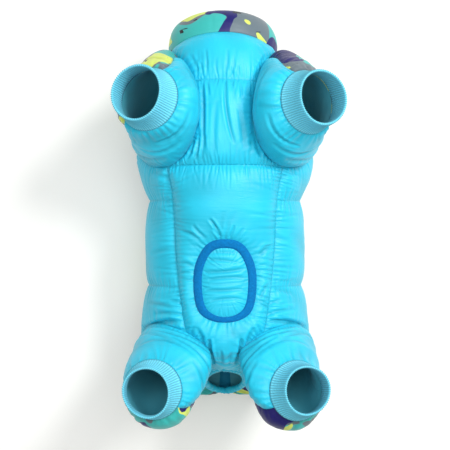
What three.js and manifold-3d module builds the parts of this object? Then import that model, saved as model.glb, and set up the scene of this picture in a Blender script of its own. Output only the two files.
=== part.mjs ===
// A padded four-legged winter jumpsuit for a small dog, shown as worn and lying on its back.
// Millimetres. +Z is the belly side, +Y points to the head and +X to the dog's left side.
// The origin is the middle of the torso hollow, where the dog's body goes.
import * as THREE from "three";
import { mergeVertices } from "three/addons/utils/BufferGeometryUtils.js";
import Module from "manifold-3d";

const wasm = await Module();
wasm.setup();

// Sizes of the torso. A width and a depth are measured across the seams, so the padding stands outside them.
const torsoLength = 327;
const neckWidth = 104;
const neckDepth = 96;
const chestWidth = 164;
const chestDepth = 142;
const waistWidth = 146;
const waistDepth = 128;
const hipWidth = 164;
const hipDepth = 128;
const tailWidth = 48;
const tailDepth = 76;

// Padding, walls and gaps
const wall = 2.4;
const padding = 6.5;
const paddingRoll = 9;
const quiltShare = 0.85;
const seamGap = 0.7;
const innerBulge = 1.2;
const armholeEase = 0.6;

// Collar
const collarHeight = 28;
const collarNapeRise = 7;
const collarThickness = 11;
const collarTaper = 5;
const neckAside = -2;
const neckAsideFrom = 0.85;

// Sleeves and their knitted cuffs
const sleevePadding = 6;
const frontCuffSeamRadius = 30.5;
const hindCuffSeamRadius = 28.5;
const frontCuffRimRadius = 26.5;
const hindCuffRimRadius = 23.5;
const frontCuffLength = 25;
const hindCuffLength = 22;
const cuffWall = 2.2;
const cuffDraw = 1;
const cuffCurve = 0.7;

// The bound opening on the belly, with its inner panel
const openingWidth = 52;
const openingLength = 78;
const openingBand = 8;
const openingBandThickness = 3.6;
const openingPadding = 2.6;
const openingCorner = 2.4;
const openingFoldPitch = 15;
const openingFoldDepth = 0.18;
const openingEdgeLift = 0.2;
const puckerFade = 20;

// Tail hem and back zip
const hemThickness = 6.5;
const hemGathers = 16;
const hemGatherDepth = 0.7;
const zipWidth = 12;
const zipThickness = 2;
const zipRidgeWidth = 5;
const zipRidgeHeight = 1.4;

// Steps across and along the pieces
const chestSteps = { across: 22, along: 10 };
const bellySteps = { across: 14, along: 18 };
const flankSteps = { across: 8, along: 10 };
const backSteps = { across: 7, along: 19 };
const sleeveSteps = { along: 7, inner: 12, outer: 8 };
const cuffSteps = { round: 24, along: 3 };
const openingSteps = { trim: 32, panel: 24 };
const collarSteps = 26;
const zipSteps = 24;
const hemSides = 6;
const arcSteps = 20;
const seamSteps = 8;
// Rows beside a quilted or gathered line, as a share of the panel, and how near another row may come, in such spreads
const rowSpread = 0.018;
const rowClearance = 0.8;
// Steps for slopes, and how close is the same
const angleStep = 0.5;
const shareStep = 0.002;
const turnStep = 0.02;
const searchEnd = 1e-6;
const weldDistance = 1e-4;

// Colours
const turquoise = 0x2ecbe9;
const cuffBlue = 0x6cc6e6;
const bindingBlue = 0x0f86d8;
const camoTeal = 0x3fbcb4;
const zipNavy = 0x241c72;

const degrees = Math.PI / 180;

// Sections of the torso from the tail opening to the neckline. share is the place along the cloth,
// along and rise are shares of the torso's length and the chest's depth, tilt leans the section's top to the head,
// and width, belly and back are shares of half the width and depth of the part that the section belongs to.
const girths = {
  tail: { width: tailWidth, depth: tailDepth },
  hip: { width: hipWidth, depth: hipDepth },
  waist: { width: waistWidth, depth: waistDepth },
  chest: { width: chestWidth, depth: chestDepth },
  neck: { width: neckWidth, depth: neckDepth },
};
const sections = [
  { share: 0.0, of: "tail", along: -0.477, rise: -0.04, tilt: 25, width: 1.0, belly: 1.0, back: 1.0 },
  { share: 0.05, of: "hip", along: -0.471, rise: -0.03, tilt: 24, width: 0.57, belly: 0.75, back: 0.72 },
  { share: 0.11, of: "hip", along: -0.4535, rise: -0.015, tilt: 20, width: 0.79, belly: 0.88, back: 0.85 },
  { share: 0.18, of: "hip", along: -0.4125, rise: 0.0, tilt: 14, width: 0.94, belly: 0.96, back: 0.94 },
  { share: 0.26, of: "hip", along: -0.3485, rise: 0.0, tilt: 8, width: 1.0, belly: 1.0, back: 1.0 },
  { share: 0.36, of: "waist", along: -0.25, rise: 0.0, tilt: 2, width: 1.04, belly: 1.02, back: 1.0 },
  { share: 0.5, of: "waist", along: -0.08, rise: 0.0, tilt: 0, width: 1.01, belly: 1.03, back: 1.02 },
  { share: 0.62, of: "waist", along: 0.08, rise: 0.0, tilt: 0, width: 1.01, belly: 1.1, back: 1.06 },
  { share: 0.73, of: "chest", along: 0.21, rise: 0.0, tilt: 4, width: 1.03, belly: 1.02, back: 0.98 },
  { share: 0.82, of: "chest", along: 0.32, rise: 0.0, tilt: 12, width: 1.02, belly: 1.0, back: 0.96 },
  { share: 0.91, of: "chest", along: 0.417, rise: 0.005, tilt: 20, width: 0.84, belly: 0.86, back: 0.84 },
  { share: 1.0, of: "neck", along: 0.505, rise: 0.02, tilt: 26, width: 1.0, belly: 1.0, back: 1.0 },
];

// Armholes, as ovals on the torso: angle is measured from the middle of the belly, share along the cloth, and skew
// moves the oval's outer side towards the head and its inner side towards the tail.
const armholes = {
  front: { angle: 62, share: 0.832, halfAngle: 44, halfShare: 0.135, skew: 0.04 },
  hind: { angle: 56, share: 0.165, halfAngle: 45, halfShare: 0.145, skew: 0.0 },
};
// Where the seams meet each armhole, as angles round it. Zero is outward and 90 is towards the head.
const seamMeets = { frontInner: 245, frontOuter: -30, frontTip: 73, hindInner: 130, hindOuter: 8, hindTip: -90 };
// How far the seams between belly panel, flank and back bow outward, in degrees, and where seams meet the neck and
// the tail opening
const bellySeamBow = 4;
const flankSeamBow = 9;
const neckSeamAngle = 62;
const tailSeamAngle = 32;
// Quilting lines across flanks and back, the gathered line across the chest, and the middle of the bound opening
const quiltLines = [0.418, 0.615];
const shirringLine = 0.862;
const openingPlace = 0.423;

// Gathers that run down the chest panel. across is a share of its half width, depth of the padding and spread of
// its half width, and from and to are shares of the panel's length from the cross seam. A fold fades in and out over
// foldEnd of that length.
const chestFolds = [
  { across: -0.62, depth: 0.25, spread: 0.1, from: 0.0, to: 0.85 },
  { across: -0.4, depth: 0.4, spread: 0.09, from: 0.1, to: 0.95 },
  { across: -0.12, depth: 0.28, spread: 0.08, from: 0.2, to: 0.9 },
  { across: 0.08, depth: 0.35, spread: 0.1, from: 0.15, to: 1.0 },
  { across: 0.36, depth: 0.25, spread: 0.1, from: 0.3, to: 0.9 },
  { across: 0.6, depth: 0.3, spread: 0.09, from: 0.2, to: 0.8 },
];
const foldEnd = 0.125;
// Puckers that fan out from the top of the bound opening on the belly panel
const openingPuckers = [
  { across: -0.34, depth: 0.32, spread: 0.09 },
  { across: -0.16, depth: 0.2, spread: 0.07 },
  { across: 0.2, depth: 0.14, spread: 0.1 },
];

// Legs. seam is the centre of the cuff's seam as shares of half the chest's width, half the torso's length and
// half the chest's depth, and lean is the leg's direction.
const legs = [
  { name: "front_right", side: -1, armhole: "front", seam: [-0.862, 0.711, 1.32], lean: [-0.41, 0.17, 0.9] },
  { name: "front_left", side: 1, armhole: "front", seam: [0.93, 0.695, 1.32], lean: [0.53, 0.1, 0.84] },
  { name: "hind_right", side: -1, armhole: "hind", seam: [-0.817, -0.933, 1.3], lean: [-0.22, 0.0, 0.97] },
  { name: "hind_left", side: 1, armhole: "hind", seam: [0.811, -0.938, 1.3], lean: [0.4, 0.12, 0.9] },
];
// Where the outer, printed half of a sleeve begins and ends, as angles round the leg.
const sleeveSplits = { front: [-36, 118], hind: [-147, 0] };
// How a sleeve leaves the torso and comes to its cuff, as shares of its length
const sleeveRise = 0.36;
const sleeveRiseAlongLeg = 0.88;
const sleeveReturn = 0.34;
// How far a sleeve flares beyond its cuff's seam on each side of the leg
const sleeveFlares = {
  front: { outward: 4, headward: 10, inward: 15, tailward: 1 },
  hind: { outward: 1, headward: 0, inward: 18, tailward: 22 },
};

const clamp = THREE.MathUtils.clamp;
const lerp = THREE.MathUtils.lerp;
const vector = (x, y, z) => new THREE.Vector3(x, y, z);
// Even steps, and steps that crowd towards both ends, where padding rolls over into a seam
const evenly = (count) => Array.from({ length: count + 1 }, (_, i) => i / count);
const crowded = (count) => evenly(count).map((t) => (1 - Math.cos(Math.PI * t)) / 2);

// A smooth curve through one column of the sections' sizes, at a place along the cloth.
const sizes = sections.map((row) => ({
  share: row.share,
  y: row.along * torsoLength,
  z: row.rise * chestDepth,
  tilt: row.tilt * degrees,
  width: (row.width * girths[row.of].width) / 2,
  belly: (row.belly * girths[row.of].depth) / 2,
  back: (row.back * girths[row.of].depth) / 2,
}));
function sizeAt(column, share) {
  const last = sizes.length - 1;
  let k = 0;
  while (k < last - 1 && share > sizes[k + 1].share) k += 1;
  const slope = (i) => {
    const before = sizes[Math.max(i - 1, 0)];
    const after = sizes[Math.min(i + 1, last)];
    return (after[column] - before[column]) / (after.share - before.share);
  };
  const span = sizes[k + 1].share - sizes[k].share;
  const t = (share - sizes[k].share) / span;
  const rise = t * t * (3 - 2 * t);
  return (
    lerp(sizes[k][column], sizes[k + 1][column], rise) +
    span * t * (1 - t) * ((1 - t) * slope(k) - t * slope(k + 1))
  );
}

// A point of the torso's sewn surface: angle in degrees from the middle of the belly, positive to +X.
function torsoPoint(angle, share) {
  const tilt = sizeAt("tilt", share);
  const up = Math.cos(angle * degrees) * sizeAt(Math.cos(angle * degrees) > 0 ? "belly" : "back", share);
  const aside = neckAside * clamp((share - neckAsideFrom) / (1 - neckAsideFrom), 0, 1);
  return vector(
    Math.sin(angle * degrees) * sizeAt("width", share) + aside,
    sizeAt("y", share) + up * Math.sin(tilt),
    sizeAt("z", share) + up * Math.cos(tilt),
  );
}
function torsoNormal(angle, share) {
  const before = Math.max(share - shareStep, 0);
  const after = Math.min(share + shareStep, 1);
  const round = torsoPoint(angle + angleStep, share).sub(torsoPoint(angle - angleStep, share));
  const along = torsoPoint(angle, after).sub(torsoPoint(angle, before));
  return round.cross(along).normalize();
}

// The place on an armhole's oval, as an angle and a share of the torso.
const armholePlace = (hole, turn) => [
  hole.angle + hole.halfAngle * Math.cos(turn * degrees),
  hole.share + hole.halfShare * Math.sin(turn * degrees) + hole.skew * Math.cos(turn * degrees),
];
const arc = (hole, from, to) => evenly(arcSteps).map((t) => armholePlace(hole, lerp(from, to, t)));
const { front, hind } = armholes;
const neckSeam = [[neckSeamAngle, 1]];
const tailSeam = [[tailSeamAngle, 0]];

// Seams between two armholes, as a place at a share along the cloth
function seamBetween(low, high, bow) {
  const at = (share) => {
    const t = (share - low[1]) / (high[1] - low[1]);
    return [lerp(low[0], high[0], t) + bow * Math.sin(Math.PI * t), share];
  };
  return { low: low[1], high: high[1], at };
}
const bellySeam = seamBetween(
  armholePlace(hind, seamMeets.hindInner),
  armholePlace(front, seamMeets.frontInner),
  bellySeamBow,
);
const flankSeam = seamBetween(
  armholePlace(hind, seamMeets.hindOuter),
  armholePlace(front, seamMeets.frontOuter),
  flankSeamBow,
);
const seamPlaces = (seam) => evenly(seamSteps).slice(1, -1).map((t) => seam.at(lerp(seam.low, seam.high, t)));

// A place at an even share of the length of a list of places on the torso.
function along(places) {
  const points = places.map(([angle, share]) => torsoPoint(angle, share));
  const ends = [0];
  points.slice(1).forEach((point, i) => ends.push(ends[i] + point.distanceTo(points[i])));
  const total = ends[ends.length - 1];
  return (t) => {
    const want = t * total;
    let k = 0;
    while (k < places.length - 2 && want > ends[k + 1]) k += 1;
    const part = clamp((want - ends[k]) / (ends[k + 1] - ends[k]), 0, 1);
    return [lerp(places[k][0], places[k + 1][0], part), lerp(places[k][1], places[k + 1][1], part)];
  };
}

// Rows of a panel, with three rows at each line that is quilted or gathered.
function rowsThrough(count, marks) {
  const near = marks.flatMap((mark) => [mark - rowSpread, mark, mark + rowSpread]);
  const apart = rowSpread * rowClearance;
  const clear = crowded(count).filter((t) => near.every((other) => Math.abs(other - t) > apart));
  return [...clear, ...near].sort((a, b) => a - b);
}
// Where along an edge its share is that of a line
function markOf(edge, share) {
  let [low, high] = [0, 1];
  while (high - low > searchEnd) {
    const middle = (low + high) / 2;
    if (edge(middle)[1] < share) low = middle;
    else high = middle;
  }
  return low;
}

// Grids of a panel: each entry has its point on the sewn surface, its normal and its place.
const spot = (angle, share) => ({ point: torsoPoint(angle, share), normal: torsoNormal(angle, share), angle, share });

// A panel between two edges that run along the torso, its rows at even shares round it.
function stripGrid(across, down, leftEdge, rightEdge) {
  return down.map((v) => {
    const [left, right] = [leftEdge(v), rightEdge(v)];
    return across.map((u) => spot(lerp(left[0], right[0], u), lerp(left[1], right[1], u)));
  });
}
// A panel between a left and a right edge whose first and last stretch of rows bend towards the bottom and top edge.
function fourEdgeGrid(across, down, left, right, bottom, top, [first, last]) {
  const straight = (u, v) => [0, 1].map((k) => lerp(left(v)[k], right(v)[k], u));
  return down.map((v) =>
    across.map((u) => {
      const [low, high] = [clamp(1 - v / first, 0, 1), clamp((v - last) / (1 - last), 0, 1)];
      const [here, start, end] = [straight(u, v), straight(u, 0), straight(u, 1)];
      const place = [0, 1].map((k) => here[k] + low * (bottom(u)[k] - start[k]) + high * (top(u)[k] - end[k]));
      return spot(...place);
    }),
  );
}

// Draws the four edges of a grid in by half the gap that seams keep.
function drawIn(grid, amount) {
  const [rows, columns] = [grid.length - 1, grid[0].length - 1];
  const towards = (cell, next) => {
    const step = next.point.clone().sub(cell.point);
    cell.point.addScaledVector(step.normalize(), amount);
  };
  grid.forEach((row) => {
    towards(row[0], row[1]);
    towards(row[columns], row[columns - 1]);
  });
  evenly(columns).forEach((_, i) => {
    towards(grid[0][i], grid[1][i]);
    towards(grid[rows][i], grid[rows - 1][i]);
  });
  return grid;
}

// How far padding stands out at a distance from the nearest seam.
const rolled = (distance, roll = paddingRoll) => 1 - Math.exp(-distance / roll);
function lineDistance(loop) {
  const lines = loop.map((point, i) => new THREE.Line3(point, loop[(i + 1) % loop.length]));
  const nearest = vector(0, 0, 0);
  const away = (line, point) => line.closestPointToPoint(point, true, nearest).distanceTo(point);
  return (point) => Math.min(...lines.map((line) => away(line, point)));
}
function seamDistance(grid) {
  const points = grid.map((row) => row.map((cell) => cell.point.clone()));
  const right = points.map((row) => row[row.length - 1]);
  const left = points.map((row) => row[0]).reverse();
  return lineDistance([...points[0], ...right, ...points[points.length - 1].slice().reverse(), ...left]);
}
function quilted(cell, lines) {
  return lines.reduce((least, line) => {
    const away = torsoPoint(cell.angle, line).distanceTo(cell.point);
    return Math.min(least, 1 - quiltShare * Math.exp(-away / paddingRoll));
  }, 1);
}

// One closed body from triangles given as corner points. Triangles that have no area are left out.
function bodyOf(triangles) {
  const corners = [];
  triangles.forEach((triangle) => {
    const [a, b, c] = triangle;
    if (a !== b && b !== c && c !== a) triangle.forEach((p) => corners.push(p.x, p.y, p.z));
  });
  const volume = triangles.reduce((sum, [a, b, c]) => sum + a.dot(b.clone().cross(c)), 0);
  if (volume < 0)
    for (let i = 0; i < corners.length; i += 9)
      for (let k = 0; k < 3; k += 1)
        [corners[i + k + 3], corners[i + k + 6]] = [corners[i + k + 6], corners[i + k + 3]];
  const geometry = new THREE.BufferGeometry();
  geometry.setAttribute("position", new THREE.Float32BufferAttribute(corners, 3));
  return geometry;
}
const quad = (a, b, c, d) => [[a, b, c], [a, c, d]];

// A wall between an outer and an inner grid of points.
function wallBody(outer, inner) {
  const [rows, columns] = [outer.length - 1, outer[0].length - 1];
  const triangles = [];
  for (let j = 0; j < rows; j += 1)
    for (let i = 0; i < columns; i += 1) {
      triangles.push(...quad(outer[j][i], outer[j][i + 1], outer[j + 1][i + 1], outer[j + 1][i]));
      triangles.push(...quad(inner[j][i], inner[j + 1][i], inner[j + 1][i + 1], inner[j][i + 1]));
    }
  for (let i = 0; i < columns; i += 1) {
    triangles.push(...quad(outer[0][i], inner[0][i], inner[0][i + 1], outer[0][i + 1]));
    triangles.push(...quad(outer[rows][i], outer[rows][i + 1], inner[rows][i + 1], inner[rows][i]));
  }
  for (let j = 0; j < rows; j += 1) {
    triangles.push(...quad(outer[j][0], outer[j + 1][0], inner[j + 1][0], inner[j][0]));
    triangles.push(...quad(outer[j][columns], inner[j][columns], inner[j + 1][columns], outer[j + 1][columns]));
  }
  return bodyOf(triangles);
}

// A body swept through a list of loops of points, joined end to start or capped at both ends.
function sweptBody(loops, closed) {
  const triangles = [];
  const size = loops[0].length;
  const steps = closed ? loops.length : loops.length - 1;
  for (let j = 0; j < steps; j += 1) {
    const [here, next] = [loops[j], loops[(j + 1) % loops.length]];
    for (let i = 0; i < size; i += 1) {
      const k = (i + 1) % size;
      triangles.push(...quad(here[i], here[k], next[k], next[i]));
    }
  }
  if (!closed)
    for (let i = 1; i < size - 1; i += 1) {
      const end = loops[loops.length - 1];
      triangles.push([loops[0][0], loops[0][i + 1], loops[0][i]], [end[0], end[i], end[i + 1]]);
    }
  return bodyOf(triangles);
}

// A padded panel: the outside puffs out between seams and the inside stays nearly smooth.
function paddedPanel(grid, { height = padding, shape = () => 1, relief = () => 0 } = {}) {
  drawIn(grid, seamGap / 2);
  const away = seamDistance(grid);
  const lift = (cell, i, j) => rolled(away(cell.point)) * shape(cell) * height + relief(cell, i, j);
  const outer = grid.map((row, j) =>
    row.map((cell, i) => cell.point.clone().addScaledVector(cell.normal, Math.max(lift(cell, i, j), 0))),
  );
  const inner = grid.map((row) =>
    row.map((cell) =>
      cell.point.clone().addScaledVector(cell.normal, -wall - innerBulge * rolled(away(cell.point)) * shape(cell)),
    ),
  );
  return wallBody(outer, inner);
}

// Solids that cut and are cut
function solidOf(geometry) {
  const merged = mergeVertices(geometry.clone(), weldDistance);
  return new wasm.Manifold(
    new wasm.Mesh({
      numProp: 3,
      vertProperties: merged.attributes.position.array,
      triVerts: new Uint32Array(merged.index.array),
    }),
  );
}
function geometryOf(solid) {
  const mesh = solid.getMesh();
  const geometry = new THREE.BufferGeometry();
  geometry.setAttribute("position", new THREE.BufferAttribute(new Float32Array(mesh.vertProperties), 3));
  geometry.setIndex(new THREE.BufferAttribute(new Uint32Array(mesh.triVerts), 1));
  return geometry;
}

// Materials
const cloth = (color, roughness = 0.5) => new THREE.MeshStandardMaterial({ color, roughness, metalness: 0 });
const shell = cloth(turquoise, 0.42);
const print = cloth(camoTeal, 0.5);
const knit = cloth(cuffBlue, 0.85);
const binding = cloth(bindingBlue, 0.8);
const zipCloth = cloth(zipNavy, 0.6);

const jumpsuit = new THREE.Group();
function add(name, geometry, material) {
  const mesh = new THREE.Mesh(geometry, material);
  mesh.name = name;
  jumpsuit.add(mesh);
}

const mirrored = (edge) => (t) => {
  const [angle, share] = edge(t);
  return [-angle, share];
};

// Chest panel, gathered on two lines between the front sleeves
function chestPanel() {
  const edge = along([...arc(front, seamMeets.frontInner, seamMeets.frontTip), ...neckSeam]);
  const rows = rowsThrough(chestSteps.along, [markOf(edge, shirringLine)]);
  const grid = stripGrid(crowded(chestSteps.across), rows, mirrored(edge), edge);
  const last = grid.length - 1;
  const folds = (cell, i, j) => {
    const place = j / last;
    const side = (2 * i) / (grid[0].length - 1) - 1;
    return chestFolds.reduce((sum, fold) => {
      const reach = clamp((place - fold.from) / foldEnd, 0, 1) * clamp((fold.to - place) / foldEnd, 0, 1);
      return sum - fold.depth * padding * reach * Math.exp(-(((side - fold.across) / fold.spread) ** 2));
    }, 0);
  };
  const shape = (cell) => quilted(cell, [shirringLine]);
  return paddedPanel(grid, { shape, relief: folds });
}

// An oval on the belly, given by how far it stands inside or outside the middle of the bound opening's edge.
const openingStretch =
  (sizeAt("y", openingPlace + shareStep) - sizeAt("y", openingPlace - shareStep)) / (2 * shareStep);
function openingPlaceAt(turn, offset) {
  const power = 2 / openingCorner;
  const reach = (value, half) => Math.sign(value) * Math.abs(value) ** power * (half + offset);
  const across = reach(Math.cos(turn), openingWidth / 2);
  const share = openingPlace + reach(Math.sin(turn), openingLength / 2) / openingStretch;
  return [Math.asin(clamp(across / sizeAt("width", share), -1, 1)) / degrees, share];
}

// Belly panel, from the cross seam to the tail opening, with the bound opening cut through it
function bellyPanel() {
  const places = [
    ...tailSeam,
    ...arc(hind, seamMeets.hindTip + 360, seamMeets.hindInner),
    ...seamPlaces(bellySeam),
    bellySeam.at(bellySeam.high),
  ];
  const edge = along(places);
  const grid = stripGrid(crowded(bellySteps.across), crowded(bellySteps.along), mirrored(edge), edge);
  const turns = evenly(openingSteps.trim).slice(0, -1).map((t) => t * 2 * Math.PI);
  const rim = turns.map((turn) => spot(...openingPlaceAt(turn, openingBand / 2 + seamGap)));
  const toOpening = lineDistance(rim.map((cell) => cell.point));
  const shape = (cell) => rolled(toOpening(cell.point));
  const puckers = (cell) => {
    const side = cell.point.x / (openingWidth / 2);
    const above = cell.point.y - torsoPoint(0, openingPlace).y - openingLength / 2;
    if (above < 0) return 0;
    const fade = Math.exp(-above / puckerFade);
    return openingPuckers.reduce(
      (sum, row) => sum - row.depth * padding * fade * Math.exp(-(((side - row.across) / row.spread) ** 2)),
      0,
    );
  };
  const panel = solidOf(paddedPanel(grid, { shape, relief: puckers }));
  const reach = 3 * padding;
  const level = (height) => rim.map((cell) => cell.point.clone().addScaledVector(cell.normal, height));
  const plug = solidOf(plugBody(level(reach), level(-reach)));
  return geometryOf(panel.subtract(plug));
}
function plugBody(top, bottom) {
  const middle = (loop) => loop.reduce((sum, p) => sum.add(p), vector(0, 0, 0)).divideScalar(loop.length);
  const [high, low] = [middle(top), middle(bottom)];
  const triangles = top.flatMap((point, i) => {
    const k = (i + 1) % top.length;
    return [...quad(point, top[k], bottom[k], bottom[i]), [high, top[k], point], [low, bottom[i], bottom[k]]];
  });
  return bodyOf(triangles);
}

// The binding round the opening: a soft band with rounded edges
function openingTrim() {
  const half = openingBand / 2;
  const section = [
    { across: -1, up: -0.3 },
    { across: -0.75, up: 0.5 },
    { across: 0, up: 0.75 },
    { across: 0.75, up: 0.5 },
    { across: 1, up: -0.3 },
    { across: 0, up: -0.45 },
  ];
  const loops = evenly(openingSteps.trim).slice(0, -1).map((t) =>
    section.map((row) => {
      const cell = spot(...openingPlaceAt(t * 2 * Math.PI, row.across * half));
      return cell.point.addScaledVector(cell.normal, row.up * openingBandThickness);
    }),
  );
  return sweptBody(loops, true);
}

// The panel inside the bound opening, crossed by soft folds
function openingPanel() {
  const edge = -openingBand / 2 - seamGap;
  const rings = [0.35, 0.65, 0.85, 0.95, 1];
  const turns = evenly(openingSteps.panel).slice(0, -1);
  const at = (share, turn, side) => {
    const [angle, place] = openingPlaceAt(turn, edge);
    const cell = spot(angle * share, lerp(openingPlace, place, share));
    const fold = Math.cos((cell.point.y / openingFoldPitch) * 2 * Math.PI) * openingFoldDepth;
    const lift = openingPadding * (1 - share ** 4) * (1 + fold) + openingEdgeLift;
    return cell.point.addScaledVector(cell.normal, side > 0 ? lift : -wall);
  };
  const skin = (side) => rings.map((share) => turns.map((t) => at(share, t * 2 * Math.PI, side)));
  const triangles = [];
  const [outer, inner] = [skin(1), skin(-1)];
  const [top, bottom] = [at(0, 0, 1), at(0, 0, -1)];
  turns.forEach((_, i) => {
    const k = (i + 1) % turns.length;
    triangles.push([top, outer[0][i], outer[0][k]], [bottom, inner[0][k], inner[0][i]]);
    for (let r = 0; r < outer.length - 1; r += 1) {
      triangles.push(...quad(outer[r][i], outer[r + 1][i], outer[r + 1][k], outer[r][k]));
      triangles.push(...quad(inner[r][i], inner[r][k], inner[r + 1][k], inner[r + 1][i]));
    }
    const edgeRow = outer.length - 1;
    triangles.push(...quad(outer[edgeRow][i], inner[edgeRow][i], inner[edgeRow][k], outer[edgeRow][k]));
  });
  return bodyOf(triangles);
}

// Flanks between belly panel and back, quilted in channels. Their rows run along the quilting lines, so an edge
// is followed in stretches between the armholes and those lines.
const flankMarks = quiltLines.map((line) => {
  const [low, high] = [(bellySeam.low + flankSeam.low) / 2, (bellySeam.high + flankSeam.high) / 2];
  return (line - low) / (high - low);
});
function throughMarks(seam, side) {
  const places = [0, ...flankMarks, 1];
  const shares = [seam.low, ...quiltLines, seam.high];
  return (t) => {
    const k = Math.min(places.findIndex((place, i) => i > 0 && t <= place), places.length - 1) - 1;
    const part = (t - places[k]) / (places[k + 1] - places[k]);
    const [angle, share] = seam.at(lerp(shares[k], shares[k + 1], part));
    return [side * angle, share];
  };
}
function flank(side) {
  const signed = (edge) => (t) => [side * edge(t)[0], edge(t)[1]];
  const top = along(arc(front, seamMeets.frontInner, seamMeets.frontOuter + 360));
  const bottom = along(arc(hind, seamMeets.hindInner, seamMeets.hindOuter));
  const grid = fourEdgeGrid(
    crowded(flankSteps.across),
    rowsThrough(flankSteps.along, flankMarks),
    throughMarks(bellySeam, side),
    throughMarks(flankSeam, side),
    signed(bottom),
    signed(top),
    flankMarks,
  );
  return paddedPanel(grid, { shape: (cell) => quilted(cell, quiltLines) });
}

// Halves of the back, from the flank and the armholes to the zip
const halfBackAngle = (share) =>
  180 - Math.asin(clamp((zipWidth / 2 + seamGap / 2) / sizeAt("width", share), 0, 1)) / degrees;
function backHalf(side) {
  const outerEdge = along([
    ...tailSeam,
    ...arc(hind, seamMeets.hindTip, seamMeets.hindOuter),
    ...seamPlaces(flankSeam),
    ...arc(front, seamMeets.frontOuter, seamMeets.frontTip),
    ...neckSeam,
  ]);
  const edge = (t) => [side * outerEdge(t)[0], outerEdge(t)[1]];
  const spine = (t) => {
    const share = outerEdge(t)[1];
    return [side * halfBackAngle(share), share];
  };
  const rows = rowsThrough(backSteps.along, quiltLines.map((line) => markOf(outerEdge, line)));
  const grid = stripGrid(crowded(backSteps.across), rows, edge, spine);
  return paddedPanel(grid, { shape: (cell) => quilted(cell, quiltLines) });
}

// The neckline's frame: the direction that the collar stands in, and the way out of it.
const neckTilt = sizeAt("tilt", 1);
const neckAxis = vector(0, Math.cos(neckTilt), -Math.sin(neckTilt));
const neckMiddle = vector(neckAside, sizeAt("y", 1), sizeAt("z", 1));
const nape = (share) => (1 - Math.cos(share * degrees)) / 2;
const collarHeightAt = (angle) => collarHeight + collarNapeRise * nape(angle);

// Padded stand-up collar, open at the nape for the zip
function collar() {
  const section = [
    { out: -0.28, up: 0.02 },
    { out: 0.0, up: 0.0 },
    { out: 0.2, up: 0.14 },
    { out: 0.42, up: 0.4 },
    { out: 0.46, up: 0.66 },
    { out: 0.32, up: 0.88 },
    { out: 0.04, up: 1.0 },
    { out: -0.26, up: 0.92 },
    { out: -0.44, up: 0.65 },
    { out: -0.44, up: 0.3 },
  ];
  const slit = halfBackAngle(1);
  const loops = evenly(collarSteps).map((t) => {
    const angle = lerp(-slit, slit, t);
    const root = torsoPoint(angle, 1);
    const out = root.clone().sub(neckMiddle).normalize();
    return section.map((row) =>
      root
        .clone()
        .addScaledVector(out, row.out * collarThickness - row.up * collarTaper)
        .addScaledVector(neckAxis, row.up * collarHeightAt(angle) + seamGap),
    );
  });
  return sweptBody(loops, false);
}

// Gathered elastic hem round the tail opening
function tailHem() {
  const steps = hemGathers * 2;
  const loops = evenly(steps).slice(0, -1).map((t, step) => {
    const angle = t * 360;
    const root = torsoPoint(angle, 0);
    const towards = root.clone().sub(torsoPoint(angle, shareStep)).normalize();
    const out = torsoNormal(angle, 0);
    const radius = hemThickness / 2 + (step % 2 ? hemGatherDepth : -hemGatherDepth) / 2;
    const middle = root
      .addScaledVector(towards, hemThickness / 2 + hemGatherDepth + seamGap)
      .addScaledVector(out, -wall / 2);
    return evenly(hemSides).slice(0, -1).map((s) =>
      middle
        .clone()
        .addScaledVector(towards, radius * Math.cos(s * 2 * Math.PI))
        .addScaledVector(out, radius * Math.sin(s * 2 * Math.PI)),
    );
  });
  return sweptBody(loops, true);
}

// Closed zip along the spine and up the collar, one plain piece. It passes places at shares along the cloth, and then
// at shares of the collar's height.
const zipStops = [shareStep, 0.08, 0.16, 0.26, 0.38, 0.5, 0.62, 0.74, 0.84, 0.93];
const zipCollarStops = [0.45, 0.75, 1];
function backZip() {
  const onBack = zipStops.map((share) => torsoPoint(180, share));
  const root = torsoPoint(180, 1);
  const onCollar = zipCollarStops.map((up) => root.clone().addScaledVector(neckAxis, up * collarHeightAt(180)));
  const path = new THREE.CatmullRomCurve3([...onBack, ...onCollar], false, "centripetal");
  const section = [
    [-zipWidth / 2, 0],
    [-zipRidgeWidth / 2, 0],
    [-zipRidgeWidth / 4, zipRidgeHeight],
    [zipRidgeWidth / 4, zipRidgeHeight],
    [zipRidgeWidth / 2, 0],
    [zipWidth / 2, 0],
    [zipWidth / 2, -zipThickness],
    [-zipWidth / 2, -zipThickness],
  ];
  const loops = evenly(zipSteps).map((t) => {
    const middle = path.getPointAt(t);
    const out = path.getTangentAt(t).cross(vector(1, 0, 0)).normalize();
    return section.map(([x, up]) => middle.clone().add(vector(x, 0, 0)).addScaledVector(out, up));
  });
  return sweptBody(loops, false);
}

// A leg's frame: the middle of its cuff's seam, its direction, and the ways outward and towards the head.
function legFrame(leg) {
  const lean = vector(...leg.lean).normalize();
  const across = (way) => way.addScaledVector(lean, -way.dot(lean));
  const outward = across(vector(leg.side, 0, 0)).normalize();
  const headward = across(vector(0, 1, 0));
  headward.addScaledVector(outward, -headward.dot(outward)).normalize();
  const [x, y, z] = leg.seam;
  const middle = vector((x * chestWidth) / 2, (y * torsoLength) / 2, (z * chestDepth) / 2);
  return { lean, outward, headward, middle };
}
const cuffSizes = {
  front: { seam: frontCuffSeamRadius, rim: frontCuffRimRadius, length: frontCuffLength },
  hind: { seam: hindCuffSeamRadius, rim: hindCuffRimRadius, length: hindCuffLength },
};
const ringOf = (frame, turn) =>
  frame.outward.clone().multiplyScalar(Math.cos(turn)).addScaledVector(frame.headward, Math.sin(turn));

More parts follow.
